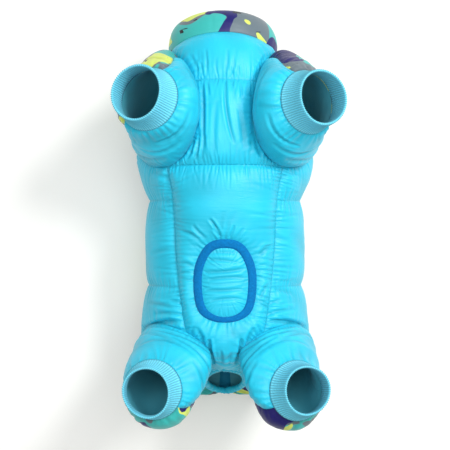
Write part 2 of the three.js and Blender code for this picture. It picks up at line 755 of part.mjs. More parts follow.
function flareAt(leg, turn) {
  const flares = sleeveFlares[leg.armhole];
  const [sideways, ahead] = [Math.cos(turn), Math.sin(turn)];
  const outer = sideways > 0 ? flares.outward : flares.inward;
  const upper = ahead > 0 ? flares.headward : flares.tailward;
  return outer * sideways ** 2 + upper * ahead ** 2;
}

// A point of a sleeve's sewn surface, from the armhole at 0 to the cuff's seam at 1.
function sleevePoint(leg, frame, turn, t) {
  const hole = armholes[leg.armhole];
  const inset = 1 - armholeEase / (hole.halfAngle * degrees * (chestWidth / 2));
  const place = armholePlace(
    { ...hole, halfAngle: hole.halfAngle * inset, halfShare: hole.halfShare * inset },
    turn / degrees,
  );
  const root = torsoPoint(leg.side * place[0], place[1]);
  const out = torsoNormal(leg.side * place[0], place[1]);
  root.addScaledVector(out, seamGap);
  const ring = ringOf(frame, turn);
  const end = frame.middle.clone().addScaledVector(ring, cuffSizes[leg.armhole].seam);
  const length = root.distanceTo(end);
  const leaving = out.lerp(frame.lean, sleeveRiseAlongLeg).normalize();
  const curve = new THREE.CubicBezierCurve3(
    root,
    root.clone().addScaledVector(leaving, length * sleeveRise),
    end.clone().addScaledVector(frame.lean, -length * sleeveReturn).addScaledVector(ring, flareAt(leg, turn)),
    end,
  );
  return curve.getPoint(t);
}
function sleeveGrid(leg, from, to, turns) {
  const frame = legFrame(leg);
  return crowded(sleeveSteps.along).map((t) =>
    crowded(turns).map((u) => {
      const turn = lerp(from, to, u) * degrees;
      const point = sleevePoint(leg, frame, turn, t);
      const [low, high] = [Math.max(t - turnStep, 0), Math.min(t + turnStep, 1)];
      const up = sleevePoint(leg, frame, turn, high).sub(sleevePoint(leg, frame, turn, low));
      const round = sleevePoint(leg, frame, turn + turnStep, t).sub(sleevePoint(leg, frame, turn - turnStep, t));
      const normal = round.cross(up).normalize();
      if (normal.dot(ringOf(frame, turn)) < 0) normal.negate();
      return { point, normal };
    }),
  );
}
function cuff(leg) {
  const { seam, rim, length } = cuffSizes[leg.armhole];
  const radiusAt = (t) => lerp(seam, rim, t ** cuffCurve) - Math.sin(Math.PI * t) * cuffDraw;
  const edge = evenly(cuffSteps.along).map((t) => [radiusAt(t), t * length]);
  const outside = edge.map(([radius, height]) => new THREE.Vector2(radius - seamGap / 2, height));
  const inside = edge.map(([radius, height]) => new THREE.Vector2(radius - seamGap / 2 - cuffWall, height)).reverse();
  const profile = [...outside, ...inside, outside[0].clone()];
  const geometry = new THREE.LatheGeometry(profile, cuffSteps.round);
  const frame = legFrame(leg);
  const turn = new THREE.Quaternion().setFromUnitVectors(vector(0, 1, 0), frame.lean);
  geometry.applyQuaternion(turn);
  const base = frame.middle.clone().addScaledVector(frame.lean, seamGap);
  geometry.translate(base.x, base.y, base.z);
  return geometry;
}

add("chest_panel", chestPanel(), shell);
add("belly_panel", bellyPanel(), shell);
add("opening_trim", openingTrim(), binding);
add("opening_panel", openingPanel(), shell);
[["right", -1], ["left", 1]].forEach(([name, side]) => {
  add("flank_" + name, flank(side), shell);
  add("back_" + name, backHalf(side), print);
});
add("back_zip", backZip(), zipCloth);
add("collar", collar(), print);
add("tail_hem", tailHem(), shell);
legs.forEach((leg) => {
  const [from, to] = sleeveSplits[leg.armhole];
  const inner = sleeveGrid(leg, to, from + 360, sleeveSteps.inner);
  const outer = sleeveGrid(leg, from, to, sleeveSteps.outer);
  add(leg.name + "_sleeve_inner", paddedPanel(inner, { height: sleevePadding }), shell);
  add(leg.name + "_sleeve_outer", paddedPanel(outer, { height: sleevePadding }), print);
  add(leg.name + "_cuff", cuff(leg), knit);
});

export default jumpsuit;
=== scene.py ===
"""A padded four-legged winter jumpsuit for a small dog, shown as worn and lying on its back.

Lengths in the tables are millimetres or shares. +Z is the belly side, +Y points to the head
and +X to the dog's left.
"""

import math
import zlib

import bpy
import numpy as np
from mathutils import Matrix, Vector
from mathutils.geometry import delaunay_2d_cdt
from mathutils.kdtree import KDTree


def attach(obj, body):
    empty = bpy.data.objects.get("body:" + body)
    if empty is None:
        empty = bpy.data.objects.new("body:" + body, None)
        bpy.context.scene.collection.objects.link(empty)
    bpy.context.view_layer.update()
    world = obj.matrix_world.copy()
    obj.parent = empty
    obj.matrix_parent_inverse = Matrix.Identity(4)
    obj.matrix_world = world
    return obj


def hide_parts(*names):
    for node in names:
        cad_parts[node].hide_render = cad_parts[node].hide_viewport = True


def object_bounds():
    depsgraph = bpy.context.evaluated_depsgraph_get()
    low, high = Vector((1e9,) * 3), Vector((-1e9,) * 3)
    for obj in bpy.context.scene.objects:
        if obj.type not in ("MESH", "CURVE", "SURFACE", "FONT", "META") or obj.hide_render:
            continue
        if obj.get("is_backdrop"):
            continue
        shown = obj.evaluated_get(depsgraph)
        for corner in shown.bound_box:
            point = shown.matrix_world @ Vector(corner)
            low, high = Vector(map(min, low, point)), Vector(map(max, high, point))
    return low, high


bl_info = {
    "name": "Padded dog jumpsuit",
    "version": (1, 0, 0),
    "blender": (4, 5, 0),
    "location": "View3D > Sidebar > Jumpsuit",
    "description": "Builds a padded four-legged winter jumpsuit over its packed solids",
    "category": "Add Mesh",
}

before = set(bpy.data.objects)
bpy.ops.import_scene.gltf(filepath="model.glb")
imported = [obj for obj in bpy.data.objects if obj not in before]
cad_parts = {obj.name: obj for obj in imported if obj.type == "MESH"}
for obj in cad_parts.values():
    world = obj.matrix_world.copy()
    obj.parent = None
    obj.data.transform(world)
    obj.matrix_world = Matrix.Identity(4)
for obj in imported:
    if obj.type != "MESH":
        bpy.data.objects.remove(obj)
CAD_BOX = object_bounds()
MM = 0.001

FULL_TURN = np.linspace(0, 2 * np.pi, 181)

# Sizes of the torso, as in the solids
TORSO_LENGTH = 327.0
GIRTHS = {
    "tail": (48.0, 76.0),
    "hip": (164.0, 128.0),
    "waist": (146.0, 128.0),
    "chest": (164.0, 142.0),
    "neck": (104.0, 96.0),
}
CHEST_WIDTH, CHEST_DEPTH = GIRTHS["chest"]
NECK_ASIDE = -2.0
NECK_ASIDE_FROM = 0.85
WALL = 2.4
PADDING_ROLL = 9.0
QUILT_SHARE = 0.85

# share along the cloth, girth, along, rise, tilt, width, belly, back
SECTIONS = (
    (0.0, "tail", -0.477, -0.04, 25, 1.0, 1.0, 1.0),
    (0.05, "hip", -0.471, -0.03, 24, 0.57, 0.75, 0.72),
    (0.11, "hip", -0.4535, -0.015, 20, 0.79, 0.88, 0.85),
    (0.18, "hip", -0.4125, 0.0, 14, 0.94, 0.96, 0.94),
    (0.26, "hip", -0.3485, 0.0, 8, 1.0, 1.0, 1.0),
    (0.36, "waist", -0.25, 0.0, 2, 1.04, 1.02, 1.0),
    (0.5, "waist", -0.08, 0.0, 0, 1.01, 1.03, 1.02),
    (0.62, "waist", 0.08, 0.0, 0, 1.01, 1.1, 1.06),
    (0.73, "chest", 0.21, 0.0, 4, 1.03, 1.02, 0.98),
    (0.82, "chest", 0.32, 0.0, 12, 1.02, 1.0, 0.96),
    (0.91, "chest", 0.417, 0.005, 20, 0.84, 0.86, 0.84),
    (1.0, "neck", 0.505, 0.02, 26, 1.0, 1.0, 1.0),
)
# angle, share, half angle, half share, skew
ARMHOLES = {
    "front": (62.0, 0.832, 44.0, 0.135, 0.04),
    "hind": (56.0, 0.165, 45.0, 0.145, 0.0),
}
FRONT_INNER, FRONT_OUTER, FRONT_TIP = 245.0, 330.0, 73.0
HIND_INNER, HIND_OUTER, HIND_TIP = 130.0, 8.0, 270.0
BELLY_SEAM_BOW = 4.0
FLANK_SEAM_BOW = 9.0
NECK_SEAM_ANGLE = 62.0
TAIL_SEAM_ANGLE = 32.0
QUILT_LINES = (0.418, 0.615)
SHIRRING_LINE = 0.862
ZIP_WIDTH, BACK_UNDER_ZIP = 12.0, 0.6
OPENING_PLACE = 0.423
OPENING_WIDTH, OPENING_LENGTH, OPENING_BAND, OPENING_CORNER = 52.0, 78.0, 8.0, 2.4

# name, side, armhole, middle of the cuff's seam in shares, lean
LEGS = (
    ("front_right", -1, "front", (-0.862, 0.711, 1.32), (-0.41, 0.17, 0.9)),
    ("front_left", 1, "front", (0.93, 0.695, 1.32), (0.53, 0.1, 0.84)),
    ("hind_right", -1, "hind", (-0.817, -0.933, 1.3), (-0.22, 0.0, 0.97)),
    ("hind_left", 1, "hind", (0.811, -0.938, 1.3), (0.4, 0.12, 0.9)),
)
# seam radius, rim radius, length
CUFFS = {"front": (30.5, 26.5, 25.0), "hind": (28.5, 23.5, 22.0)}
SLEEVE_SPLITS = {"front": (-36.0, 118.0), "hind": (-147.0, 0.0)}
SLEEVE_RISE, SLEEVE_RISE_ALONG_LEG, SLEEVE_RETURN = 0.36, 0.88, 0.34
# outward, headward, inward, tailward
SLEEVE_FLARES = {"front": (4.0, 10.0, 15.0, 1.0), "hind": (1.0, 0.0, 18.0, 22.0)}


def unit(vectors):
    """Vectors brought to length one."""
    return vectors / np.maximum(np.linalg.norm(vectors, axis=-1, keepdims=True), 1e-9)


def placed(name, data):
    """A new object in the scene."""
    piece = bpy.data.objects.new(name, data)
    bpy.context.scene.collection.objects.link(piece)
    return piece


def lengths_along(points):
    """The length from the start of a line to each of its points."""
    return np.concatenate([[0], np.cumsum(np.linalg.norm(np.diff(points, axis=0), axis=1))])


def at_lengths(want, lengths, points):
    """Points on a line at the wanted lengths along it."""
    return np.stack([np.interp(want, lengths, column) for column in points.T], axis=-1)


def size_table():
    """The columns of the sections as lengths and angles."""
    rows = []
    for share, girth, along, rise, tilt, width, belly, back in SECTIONS:
        across, deep = GIRTHS[girth]
        rows.append((share, along * TORSO_LENGTH, rise * CHEST_DEPTH, math.radians(tilt),
                     width * across / 2, belly * deep / 2, back * deep / 2))
    names = ("share", "y", "z", "tilt", "width", "belly", "back")
    return dict(zip(names, np.array(rows).T))


SIZES = size_table()


def size_at(column, share):
    """A smooth curve through one column of the sections."""
    shares, values = SIZES["share"], SIZES[column]
    last = len(shares) - 1
    share = np.asarray(share, float)
    k = np.clip(np.searchsorted(shares, share, side="left") - 1, 0, last - 1)

    def slope(i):
        before, after = np.maximum(i - 1, 0), np.minimum(i + 1, last)
        return (values[after] - values[before]) / (shares[after] - shares[before])

    span = shares[k + 1] - shares[k]
    t = (share - shares[k]) / span
    rise = t * t * (3 - 2 * t)
    bend = span * t * (1 - t) * ((1 - t) * slope(k) - t * slope(k + 1))
    return values[k] + (values[k + 1] - values[k]) * rise + bend


def torso_point(angle, share):
    """Points of the torso's sewn surface at angles from the middle of the belly and shares along the cloth."""
    angle, share = np.broadcast_arrays(np.asarray(angle, float), np.asarray(share, float))
    tilt = size_at("tilt", share)
    turn = np.radians(angle)
    deep = np.where(np.cos(turn) > 0, size_at("belly", share), size_at("back", share))
    up = np.cos(turn) * deep
    aside = NECK_ASIDE * np.clip((share - NECK_ASIDE_FROM) / (1 - NECK_ASIDE_FROM), 0, 1)
    return np.stack([np.sin(turn) * size_at("width", share) + aside,
                     size_at("y", share) + up * np.sin(tilt),
                     size_at("z", share) + up * np.cos(tilt)], axis=-1)


class TorsoCloth:
    """The torso as a domain of places, each an angle in degrees and a share along the cloth."""

    ANGLE_NUDGE, SHARE_NUDGE = 0.5, 0.002

    def __init__(self):
        shares = np.linspace(0, 1, 201)
        rounds = [torso_point(angle, shares) for angle in (0, 60, 120, 180)]
        steps = np.mean([np.linalg.norm(np.diff(line, axis=0), axis=1) for line in rounds], axis=0)
        self.shares = shares
        self.lengths = np.concatenate([[0], np.cumsum(steps)])

    def point(self, places):
        return torso_point(places[..., 0], places[..., 1])

    def normal(self, places):
        angle, share = places[..., 0], places[..., 1]
        before = np.maximum(share - self.SHARE_NUDGE, 0)
        after = np.minimum(share + self.SHARE_NUDGE, 1)
        around = torso_point(angle + self.ANGLE_NUDGE, share) - torso_point(angle - self.ANGLE_NUDGE, share)
        return unit(np.cross(around, torso_point(angle, after) - torso_point(angle, before)))

    def radius(self, share):
        deep = (size_at("belly", share) + size_at("back", share)) / 2
        return np.sqrt((size_at("width", share) ** 2 + deep ** 2) / 2)

    def flat(self, places):
        share = places[..., 1]
        return np.stack([np.radians(places[..., 0]) * self.radius(share),
                         np.interp(share, self.shares, self.lengths)], axis=-1)

    def unflat(self, flat):
        share = np.interp(flat[..., 1], self.lengths, self.shares)
        return np.stack([np.degrees(flat[..., 0] / self.radius(share)), share], axis=-1)


TORSO = TorsoCloth()


def armhole_place(armhole, turn):
    """The place on an armhole's oval at an angle round it, 0 outward and 90 towards the head."""
    angle, share, half_angle, half_share, skew = ARMHOLES[armhole]
    turn = np.radians(np.asarray(turn, float))
    return np.stack([angle + half_angle * np.cos(turn),
                     share + half_share * np.sin(turn) + skew * np.cos(turn)], axis=-1)


class LegFrame:
    """The middle of a cuff's seam, the leg's direction and the ways outward and towards the head."""

    def __init__(self, leg):
        _, self.side, self.armhole, seam, lean = leg
        self.lean = unit(np.array(lean))
        outward = np.array([self.side, 0.0, 0.0])
        self.outward = unit(outward - self.lean * (outward @ self.lean))
        headward = np.array([0.0, 1.0, 0.0])
        headward = headward - self.lean * (headward @ self.lean)
        self.headward = unit(headward - self.outward * (headward @ self.outward))
        self.middle = np.array(seam) * np.array([CHEST_WIDTH, TORSO_LENGTH, CHEST_DEPTH]) / 2

    def ring(self, turn):
        return np.cos(turn)[..., None] * self.outward + np.sin(turn)[..., None] * self.headward


class SleeveCloth:
    """A sleeve as a domain of places, each an angle round the leg and a share from armhole to cuff."""

    LENGTH = 74.0
    ROOT_RADIUS = 52.0
    ANGLE_NUDGE, SHARE_NUDGE = 1.2, 0.02

    def __init__(self, leg):
        self.leg = LegFrame(leg)

    def point(self, places):
        leg = self.leg
        turn, t = np.radians(places[..., 0]), places[..., 1][..., None]
        hole = armhole_place(leg.armhole, places[..., 0])
        hole[..., 0] *= leg.side
        root, out = TORSO.point(hole), TORSO.normal(hole)
        ring = leg.ring(turn)
        end = leg.middle + ring * CUFFS[leg.armhole][0]
        length = np.linalg.norm(end - root, axis=-1, keepdims=True)
        leaving = unit(out + (leg.lean - out) * SLEEVE_RISE_ALONG_LEG)
        outward, headward, inward, tailward = SLEEVE_FLARES[leg.armhole]
        across, ahead = np.cos(turn), np.sin(turn)
        flare = np.where(across > 0, outward, inward) * across ** 2
        flare += np.where(ahead > 0, headward, tailward) * ahead ** 2
        first = root + leaving * length * SLEEVE_RISE
        second = end - leg.lean * length * SLEEVE_RETURN + ring * flare[..., None]
        return (root * (1 - t) ** 3 + 3 * first * t * (1 - t) ** 2
                + 3 * second * t ** 2 * (1 - t) + end * t ** 3)

    def normal(self, places):
        low, high = places.copy(), places.copy()
        low[..., 1] = np.maximum(places[..., 1] - self.SHARE_NUDGE, 0)
        high[..., 1] = np.minimum(places[..., 1] + self.SHARE_NUDGE, 1)
        left, right = places.copy(), places.copy()
        left[..., 0] -= self.ANGLE_NUDGE
        right[..., 0] += self.ANGLE_NUDGE
        normal = unit(np.cross(self.point(right) - self.point(left), self.point(high) - self.point(low)))
        ring = self.leg.ring(np.radians(places[..., 0]))
        return np.where((normal * ring).sum(-1, keepdims=True) < 0, -normal, normal)

    def radius(self, t):
        return self.ROOT_RADIUS + (CUFFS[self.leg.armhole][0] - self.ROOT_RADIUS) * t

    def flat(self, places):
        t = places[..., 1]
        return np.stack([np.radians(places[..., 0]) * self.radius(t), t * self.LENGTH], axis=-1)

    def unflat(self, flat):
        t = flat[..., 1] / self.LENGTH
        return np.stack([np.degrees(flat[..., 0] / self.radius(t)), t], axis=-1)


def straight(start, end, count=60):
    """Places on a straight line of the domain."""
    t = np.linspace(0, 1, count)[:, None]
    return np.asarray(start, float) * (1 - t) + np.asarray(end, float) * t


def seam_between(low, high, bow):
    """A seam that bows outward between two armholes."""
    t = np.linspace(0, 1, 80)
    line = straight(low, high, 80)
    line[:, 0] += bow * np.sin(np.pi * t)
    return line


def half_back_angle(share):
    """The angle at which a half of the back meets the zip."""
    under_zip = ZIP_WIDTH / 2 - BACK_UNDER_ZIP
    return 180 - np.degrees(np.arcsin(np.clip(under_zip / size_at("width", share), 0, 1)))


def torso_seams():
    """The seams of the left half of the torso, as places."""
    arc = lambda armhole, start, end: armhole_place(armhole, np.linspace(start, end, 90))
    shares = np.linspace(0, 1, 120)
    cross = armhole_place("front", FRONT_INNER)
    neck, tail = (NECK_SEAM_ANGLE, 1.0), (TAIL_SEAM_ANGLE, 0.0)
    return {
        "chest_sleeve": arc("front", FRONT_INNER, FRONT_TIP),
        "neck_side": straight(armhole_place("front", FRONT_TIP), neck),
        "cross": straight((-cross[0], cross[1]), cross),
        "neckline_front": straight((-neck[0], 1.0), neck),
        "neckline_back": straight(neck, (float(half_back_angle(1.0)), 1.0)),
        "flank_front": arc("front", FRONT_INNER, FRONT_OUTER),
        "back_front": arc("front", FRONT_OUTER - 360, FRONT_TIP),
        "belly_side": seam_between(armhole_place("hind", HIND_INNER), cross, BELLY_SEAM_BOW),
        "flank_side": seam_between(armhole_place("hind", HIND_OUTER), armhole_place("front", FRONT_OUTER),
                                   FLANK_SEAM_BOW),
        "belly_hind": arc("hind", HIND_TIP, HIND_INNER),
        "flank_hind": arc("hind", HIND_INNER, HIND_OUTER),
        "back_hind": arc("hind", HIND_TIP - 360, HIND_OUTER),
        "tail_side": straight(tail, armhole_place("hind", HIND_TIP)),
        "tail_front": straight((-tail[0], 0.0), tail),
        "tail_back": straight(tail, (float(half_back_angle(0.0)), 0.0)),
        "spine": np.stack([half_back_angle(shares), shares], axis=-1),
    }


SEAMS = torso_seams()


def seam_angle(share, *names):
    """The angle at which a seam passes a share, or several seams that follow each other."""
    line = np.concatenate([SEAMS[name] for name in names])
    return float(np.interp(share, line[:, 1], line[:, 0]))


def shirring_line():
    """The gathered line across the chest, as places."""
    reach = seam_angle(SHIRRING_LINE, "chest_sleeve", "neck_side")
    return straight((-reach, SHIRRING_LINE), (reach, SHIRRING_LINE))


def phases_round(count):
    """Even steps round a circle, in radians."""
    return np.linspace(0, 2 * np.pi, count, endpoint=False)


# A small step along the cloth, to find its direction
SHARE_STEP = 0.002


def opening_place(turn, offset):
    """Places on the oval of the belly opening, at an offset from the middle of its binding."""
    ahead, behind = size_at("y", OPENING_PLACE + SHARE_STEP), size_at("y", OPENING_PLACE - SHARE_STEP)
    stretch = float(ahead - behind) / (2 * SHARE_STEP)
    power = 2 / OPENING_CORNER
    reach = lambda value, half: np.sign(value) * np.abs(value) ** power * (half + offset)
    share = OPENING_PLACE + reach(np.sin(turn), OPENING_LENGTH / 2) / stretch
    across = reach(np.cos(turn), OPENING_WIDTH / 2) / size_at("width", share)
    return np.stack([np.degrees(np.arcsin(np.clip(across, -1, 1))), share], axis=-1)


# depth, reach and pitch of the puckers along each seam
PUCKERS = {
    "cross": (0.65, 9.0, 2.5),
    "chest_sleeve": (0.45, 9.0, 3.6),
    "belly_side": (0.65, 12.0, 3.0),
    "flank_side": (0.5, 9.0, 3.8),
    "flank_front": (0.5, 10.0, 3.4),
    "flank_hind": (0.35, 8.0, 3.8),
    "tail_front": (1.3, 8.0, 2.6),
    "tail_back": (1.1, 14.0, 4.6),
    "tail_side": (0.6, 10.0, 3.8),
    "belly_hind": (0.8, 12.0, 3.4),
    "neckline_front": (0.12, 7.0, 6.0),
    "neckline_back": (0.4, 7.0, 5.0),
    "neck_side": (0.4, 8.0, 4.6),
    "spine": (0.4, 7.0, 4.6),
    "shirring": (0.75, 11.0, 2.7),
    "quilting": (0.5, 9.0, 3.4),
    "opening_edge": (0.6, 11.0, 3.4),
    "opening_panel_edge": (0.5, 9.0, 3.0),
    "sleeve_root": (0.5, 11.0, 3.8),
    "sleeve_split": (0.5, 8.0, 3.6),
    "sleeve_cuff": (0.8, 11.0, 4.0),
}
OTHER_PUCKERS = (0.5, 10.0, 3.8)


class Run:
    """A stretch of sewing: its places, and the puckers of its kind. The name seeds them."""

    def __init__(self, name, places, kind=None):
        self.name, self.places = name, places
        self.depth, self.reach, self.pitch = PUCKERS.get(kind or name, OTHER_PUCKERS)


def torso_run(name, side=1):
    """A seam of the torso on one side."""
    places = SEAMS[name].copy()
    places[:, 0] *= side
    return Run(name + ("_left" if side > 0 else "_right"), places, name)


def mirrored_outline(low, sides, high):
    """The seams round a panel in the middle: its low end, one side, its high end and the other side."""
    left = [torso_run(name, 1) for name in sides]
    right = [torso_run(name, -1) for name in reversed(sides)]
    return [torso_run(low)] + left + [torso_run(high)] + right


def quilting(kind, line, side, name, low, high):
    """A quilting line on one side, between two angles."""
    return Run(f"{kind}_{line}_{name}", straight((side * low, line), (side * high, line)), "quilting")


def evenly_spaced(cloth, places, step):
    """Places at even distances along a line of places."""
    lengths = lengths_along(cloth.point(places))
    count = max(int(round(lengths[-1] / step)), 1)
    return at_lengths(np.linspace(0, lengths[-1], count + 1), lengths, places)


def inside(loop, points):
    """Which flat points lie inside a closed loop."""
    x, y = points[:, 0][:, None], points[:, 1][:, None]
    ax, ay = loop[:, 0], loop[:, 1]
    bx, by = np.roll(ax, -1), np.roll(ay, -1)
    spans = (ay > y) != (by > y)
    rise = np.where(by == ay, 1e-12, by - ay)
    crossings = spans & (x < ax + (y - ay) * (bx - ax) / rise)
    return crossings.sum(axis=1) % 2 == 1


def facings(points, faces):
    """The way that each face looks, from its first three corners."""
    corners = points[faces]
    return np.cross(corners[:, 1] - corners[:, 0], corners[:, 2] - corners[:, 0])


class Panel:
    """A piece of cloth: its outline, the lines sewn across it, a hole, and its triangles."""

    # How far its filling keeps from the sewing, as a share of the step
    CLEARANCE = 0.55

    def __init__(self, name, cloth, outline, lines=(), hole=None, step=3.0):
        self.name, self.cloth = name, cloth
        self.runs = list(outline) + list(lines) + ([hole] if hole else [])
        loops = [self._loop([run.places for run in outline], step)]
        if hole:
            loops.append(self._loop([hole.places], step))
        inner = [evenly_spaced(cloth, run.places, step)[1:-1] for run in lines]
        places, edges, start = [], [], 0
        for loop in loops:
            count = len(loop)
            places.append(loop)
            edges += [(start + i, start + (i + 1) % count) for i in range(count)]
            start += count
        for line in inner:
            places.append(line)
            edges += [(start + i, start + i + 1) for i in range(len(line) - 1)]
            start += len(line)
        fixed = np.concatenate(places)
        flats = [cloth.flat(loop) for loop in loops]
        flat_fixed = cloth.flat(fixed)
        filling = self._filling(flats, flat_fixed, step)
        flat = np.concatenate([flat_fixed, filling])
        _, _, faces, origins, _, _ = delaunay_2d_cdt([Vector(p) for p in flat.tolist()], edges, [], 0, 1e-5)
        back = np.array([origin[0] for origin in origins])
        triangles = back[np.array([face for face in faces if len(face) == 3])]
        middle = flat[triangles].mean(axis=1)
        keep = inside(flats[0], middle)
        if hole:
            keep &= ~inside(flats[1], middle)
        self.triangles = triangles[keep]
        self.places = np.concatenate([fixed, cloth.unflat(filling)])
        self.held = np.zeros(len(self.places), bool)
        self.held[: len(fixed)] = True
        self.edge = np.zeros(len(self.places), bool)
        self.edge[: sum(len(loop) for loop in loops)] = True
        self._face_outward()

    def _loop(self, segments, step):
        """One closed loop of places from segments that are turned to follow each other."""
        loop = []
        for k, segment in enumerate(segments):
            line = evenly_spaced(self.cloth, segment, step)
            if k == 0 and len(segments) > 1:
                other = segments[1]
                starts = min(np.abs(line[0] - other[0]).sum(), np.abs(line[0] - other[-1]).sum())
                ends = min(np.abs(line[-1] - other[0]).sum(), np.abs(line[-1] - other[-1]).sum())
                line = line[::-1] if starts < ends else line
            elif k:
                turned = np.abs(line[0] - loop[-1]).sum() > np.abs(line[-1] - loop[-1]).sum()
                line = (line[::-1] if turned else line)[1:]
            loop.extend(line)
        return np.array(loop[:-1])

    def _filling(self, flats, fixed, step):
        """Staggered rows of flat points inside the outline and clear of its sewing."""
        low, high = flats[0].min(axis=0), flats[0].max(axis=0)
        rows = np.arange(low[1], high[1], step * math.sqrt(3) / 2)
        points = []
        for j, row in enumerate(rows):
            across = np.arange(low[0] + (j % 2) * step / 2, high[0], step)
            points.append(np.stack([across, np.full_like(across, row)], axis=-1))
        points = np.concatenate(points)
        points = points[inside(flats[0], points)]
        for hole in flats[1:]:
            points = points[~inside(hole, points)]
        nearest = np.full(len(points), np.inf)
        for chunk in np.array_split(np.arange(len(points)), max(len(points) // 2000, 1)):
            away = np.linalg.norm(points[chunk][:, None] - fixed[None], axis=-1)
            nearest[chunk] = away.min(axis=1)
        return points[nearest > step * self.CLEARANCE]

    def _face_outward(self):
        """Turns the triangles so that their fronts look out of the garment."""
        normals = self.cloth.normal(self.places)[self.triangles[:, 0]]
        if (facings(self.cloth.point(self.places), self.triangles) * normals).sum() < 0:
            self.triangles = self.triangles[:, ::-1].copy()


class Sewing:
    """A sewn line sampled finely, with the length along it and the distance from it of any point."""

    SAMPLE = 0.5

    def __init__(self, cloth, places):
        self.points = cloth.point(evenly_spaced(cloth, places, self.SAMPLE))
        self.lengths = lengths_along(self.points)
        self.tree = KDTree(len(self.points))
        for i, point in enumerate(self.points):
            self.tree.insert(point, i)
        self.tree.balance()

    def nearest(self, points):
        """The length along the line and the distance from it, for each point."""
        found = [self.tree.find(point)[1:] for point in points]
        return self.lengths[[entry[0] for entry in found]], np.array([entry[1] for entry in found])


FAR_AWAY = 1e3


def distance_from(cloth, runs, points):
    """How far each point is from the nearest of several sewn lines."""
    away = np.full(len(points), FAR_AWAY)
    for run in runs:
        away = np.minimum(away, Sewing(cloth, run.places).nearest(points)[1])
    return away


# The shoulders beside a fold, as shares of its depth and width
SHOULDER_HEIGHT, SHOULDER_PLACE = 0.45, 2.1


def valley(aside, width):
    """The section of a fold: a narrow valley between two soft shoulders."""
    aside = np.abs(aside) / width
    return np.exp(-(aside ** 2)) - SHOULDER_HEIGHT * np.exp(-((aside - SHOULDER_PLACE) ** 2))


# How many creases a seam has at most, and how many on either side of a point reach it
CREASES_PER_RUN = 400
CREASES_IN_REACH = 4


def creases(run):
    """Short creases that run away from a seam: place, depth, length, width and slant of each."""
    rng = np.random.default_rng(zlib.crc32(run.name.encode()))
    place = np.cumsum(run.pitch * rng.uniform(0.4, 1.6, CREASES_PER_RUN)) - 3 * run.pitch
    depth = run.depth * rng.uniform(0.2, 1.2, CREASES_PER_RUN)
    length = run.reach * rng.uniform(0.4, 1.8, CREASES_PER_RUN)
    width = run.pitch * rng.uniform(0.2, 0.32, CREASES_PER_RUN)
    slant = rng.normal(0, 0.14, CREASES_PER_RUN)
    return np.stack([place, depth, length, width, slant], axis=-1)


def puckers(cloth, runs, points, scale):
    """How far the short creases at the seams sink each point."""
    sunk = np.zeros(len(points))
    for run in runs:
        sewing = Sewing(cloth, run.places)
        low, high = sewing.points.min(axis=0) - 2.5 * run.reach, sewing.points.max(axis=0) + 2.5 * run.reach
        near = np.flatnonzero(((points > low) & (points < high)).all(axis=1))
        s, d = sewing.nearest(points[near])
        table = creases(run)
        first = np.searchsorted(table[:, 0], s)
        total = np.zeros(len(s))
        for offset in range(-CREASES_IN_REACH, CREASES_IN_REACH):
            place, depth, length, width, slant = table[np.clip(first + offset, 0, len(table) - 1)].T
            aside = s - place - slant * d
            fade = np.exp(-((d / length) ** 1.3)) * np.clip(d / 1.5, 0, 1)
            total += depth * fade * valley(aside, width * (1 + 0.5 * d / length))
        ends = np.clip(np.minimum(s, sewing.lengths[-1] - s) / 3 + (d < 1), 0, 1)
        sunk[near] += total * ends * scale
    return sunk


def fold_depth(points, normals, folds):
    """How far long folds on the belly side sink each point. Rows hold both ends, depth, width and bow."""
    sunk = np.zeros(len(points))
    upward = np.clip(normals[:, 2] * 2.5, 0, 1)
    for x0, y0, x1, y1, depth, width, bow in folds:
        start, way = np.array([x0, y0]), np.array([x1 - x0, y1 - y0])
        length = np.linalg.norm(way)
        way = way / length
        flat = points[:, :2] - start
        t = np.clip(flat @ way / length, 0, 1)
        aside = flat @ np.array([-way[1], way[0]]) - bow * 4 * t * (1 - t)
        sunk += depth * np.sqrt(np.clip(np.sin(np.pi * t), 0, 1)) * valley(aside, width) * upward
    return sunk


def wrapped_folds(cloth, base, folds):
    """How far folds that follow a sleeve sink each point."""
    sunk = np.zeros(len(base))
    for turn0, t0, turn1, t1, bow, depth, width in folds:
        line = straight((turn0, t0), (turn1, t1))
        line[:, 1] += bow * np.sin(np.linspace(0, np.pi, len(line)))
        fold = Sewing(cloth, line)
        s, d = fold.nearest(base)
        fade = np.sqrt(np.clip(np.sin(np.pi * s / fold.lengths[-1]), 0, 1))
        sunk += depth * fade * valley(d, width)
    return sunk


LUMP_WAVES = 7


def lumps(points, pitch, seed):
    """A smooth, uneven field from a few waves in fixed directions."""
    rng = np.random.default_rng(seed)
    total = np.zeros(len(points))
    for _ in range(LUMP_WAVES):
        way = unit(rng.normal(size=3)) * 2 * np.pi / (pitch * rng.uniform(0.7, 1.5))
        total += np.sin(points @ way + rng.uniform(0, 2 * np.pi))
    return total / LUMP_WAVES * 1.6


def triangle_edges(triangles):
    """The distinct edges, each triangle's edges as indices into them, and how many triangles each edge has."""
    pairs = np.sort(triangles[:, [0, 1, 1, 2, 2, 0]].reshape(-1, 2), axis=1)
    edges, index, counts = np.unique(pairs, axis=0, return_inverse=True, return_counts=True)
    return edges, index.reshape(-1, 3), counts


def split_in_four(triangles, count):
    """Each triangle as four, with a new point in the middle of every edge."""
    edges, of_triangle, uses = triangle_edges(triangles)
    a, b, c = triangles.T
    ab, bc, ca = (of_triangle + count).T
    parts = [np.stack(corners, axis=-1) for corners in ((a, ab, ca), (ab, b, bc), (ca, bc, c), (ab, bc, ca))]
    return np.concatenate(parts), edges, of_triangle, uses


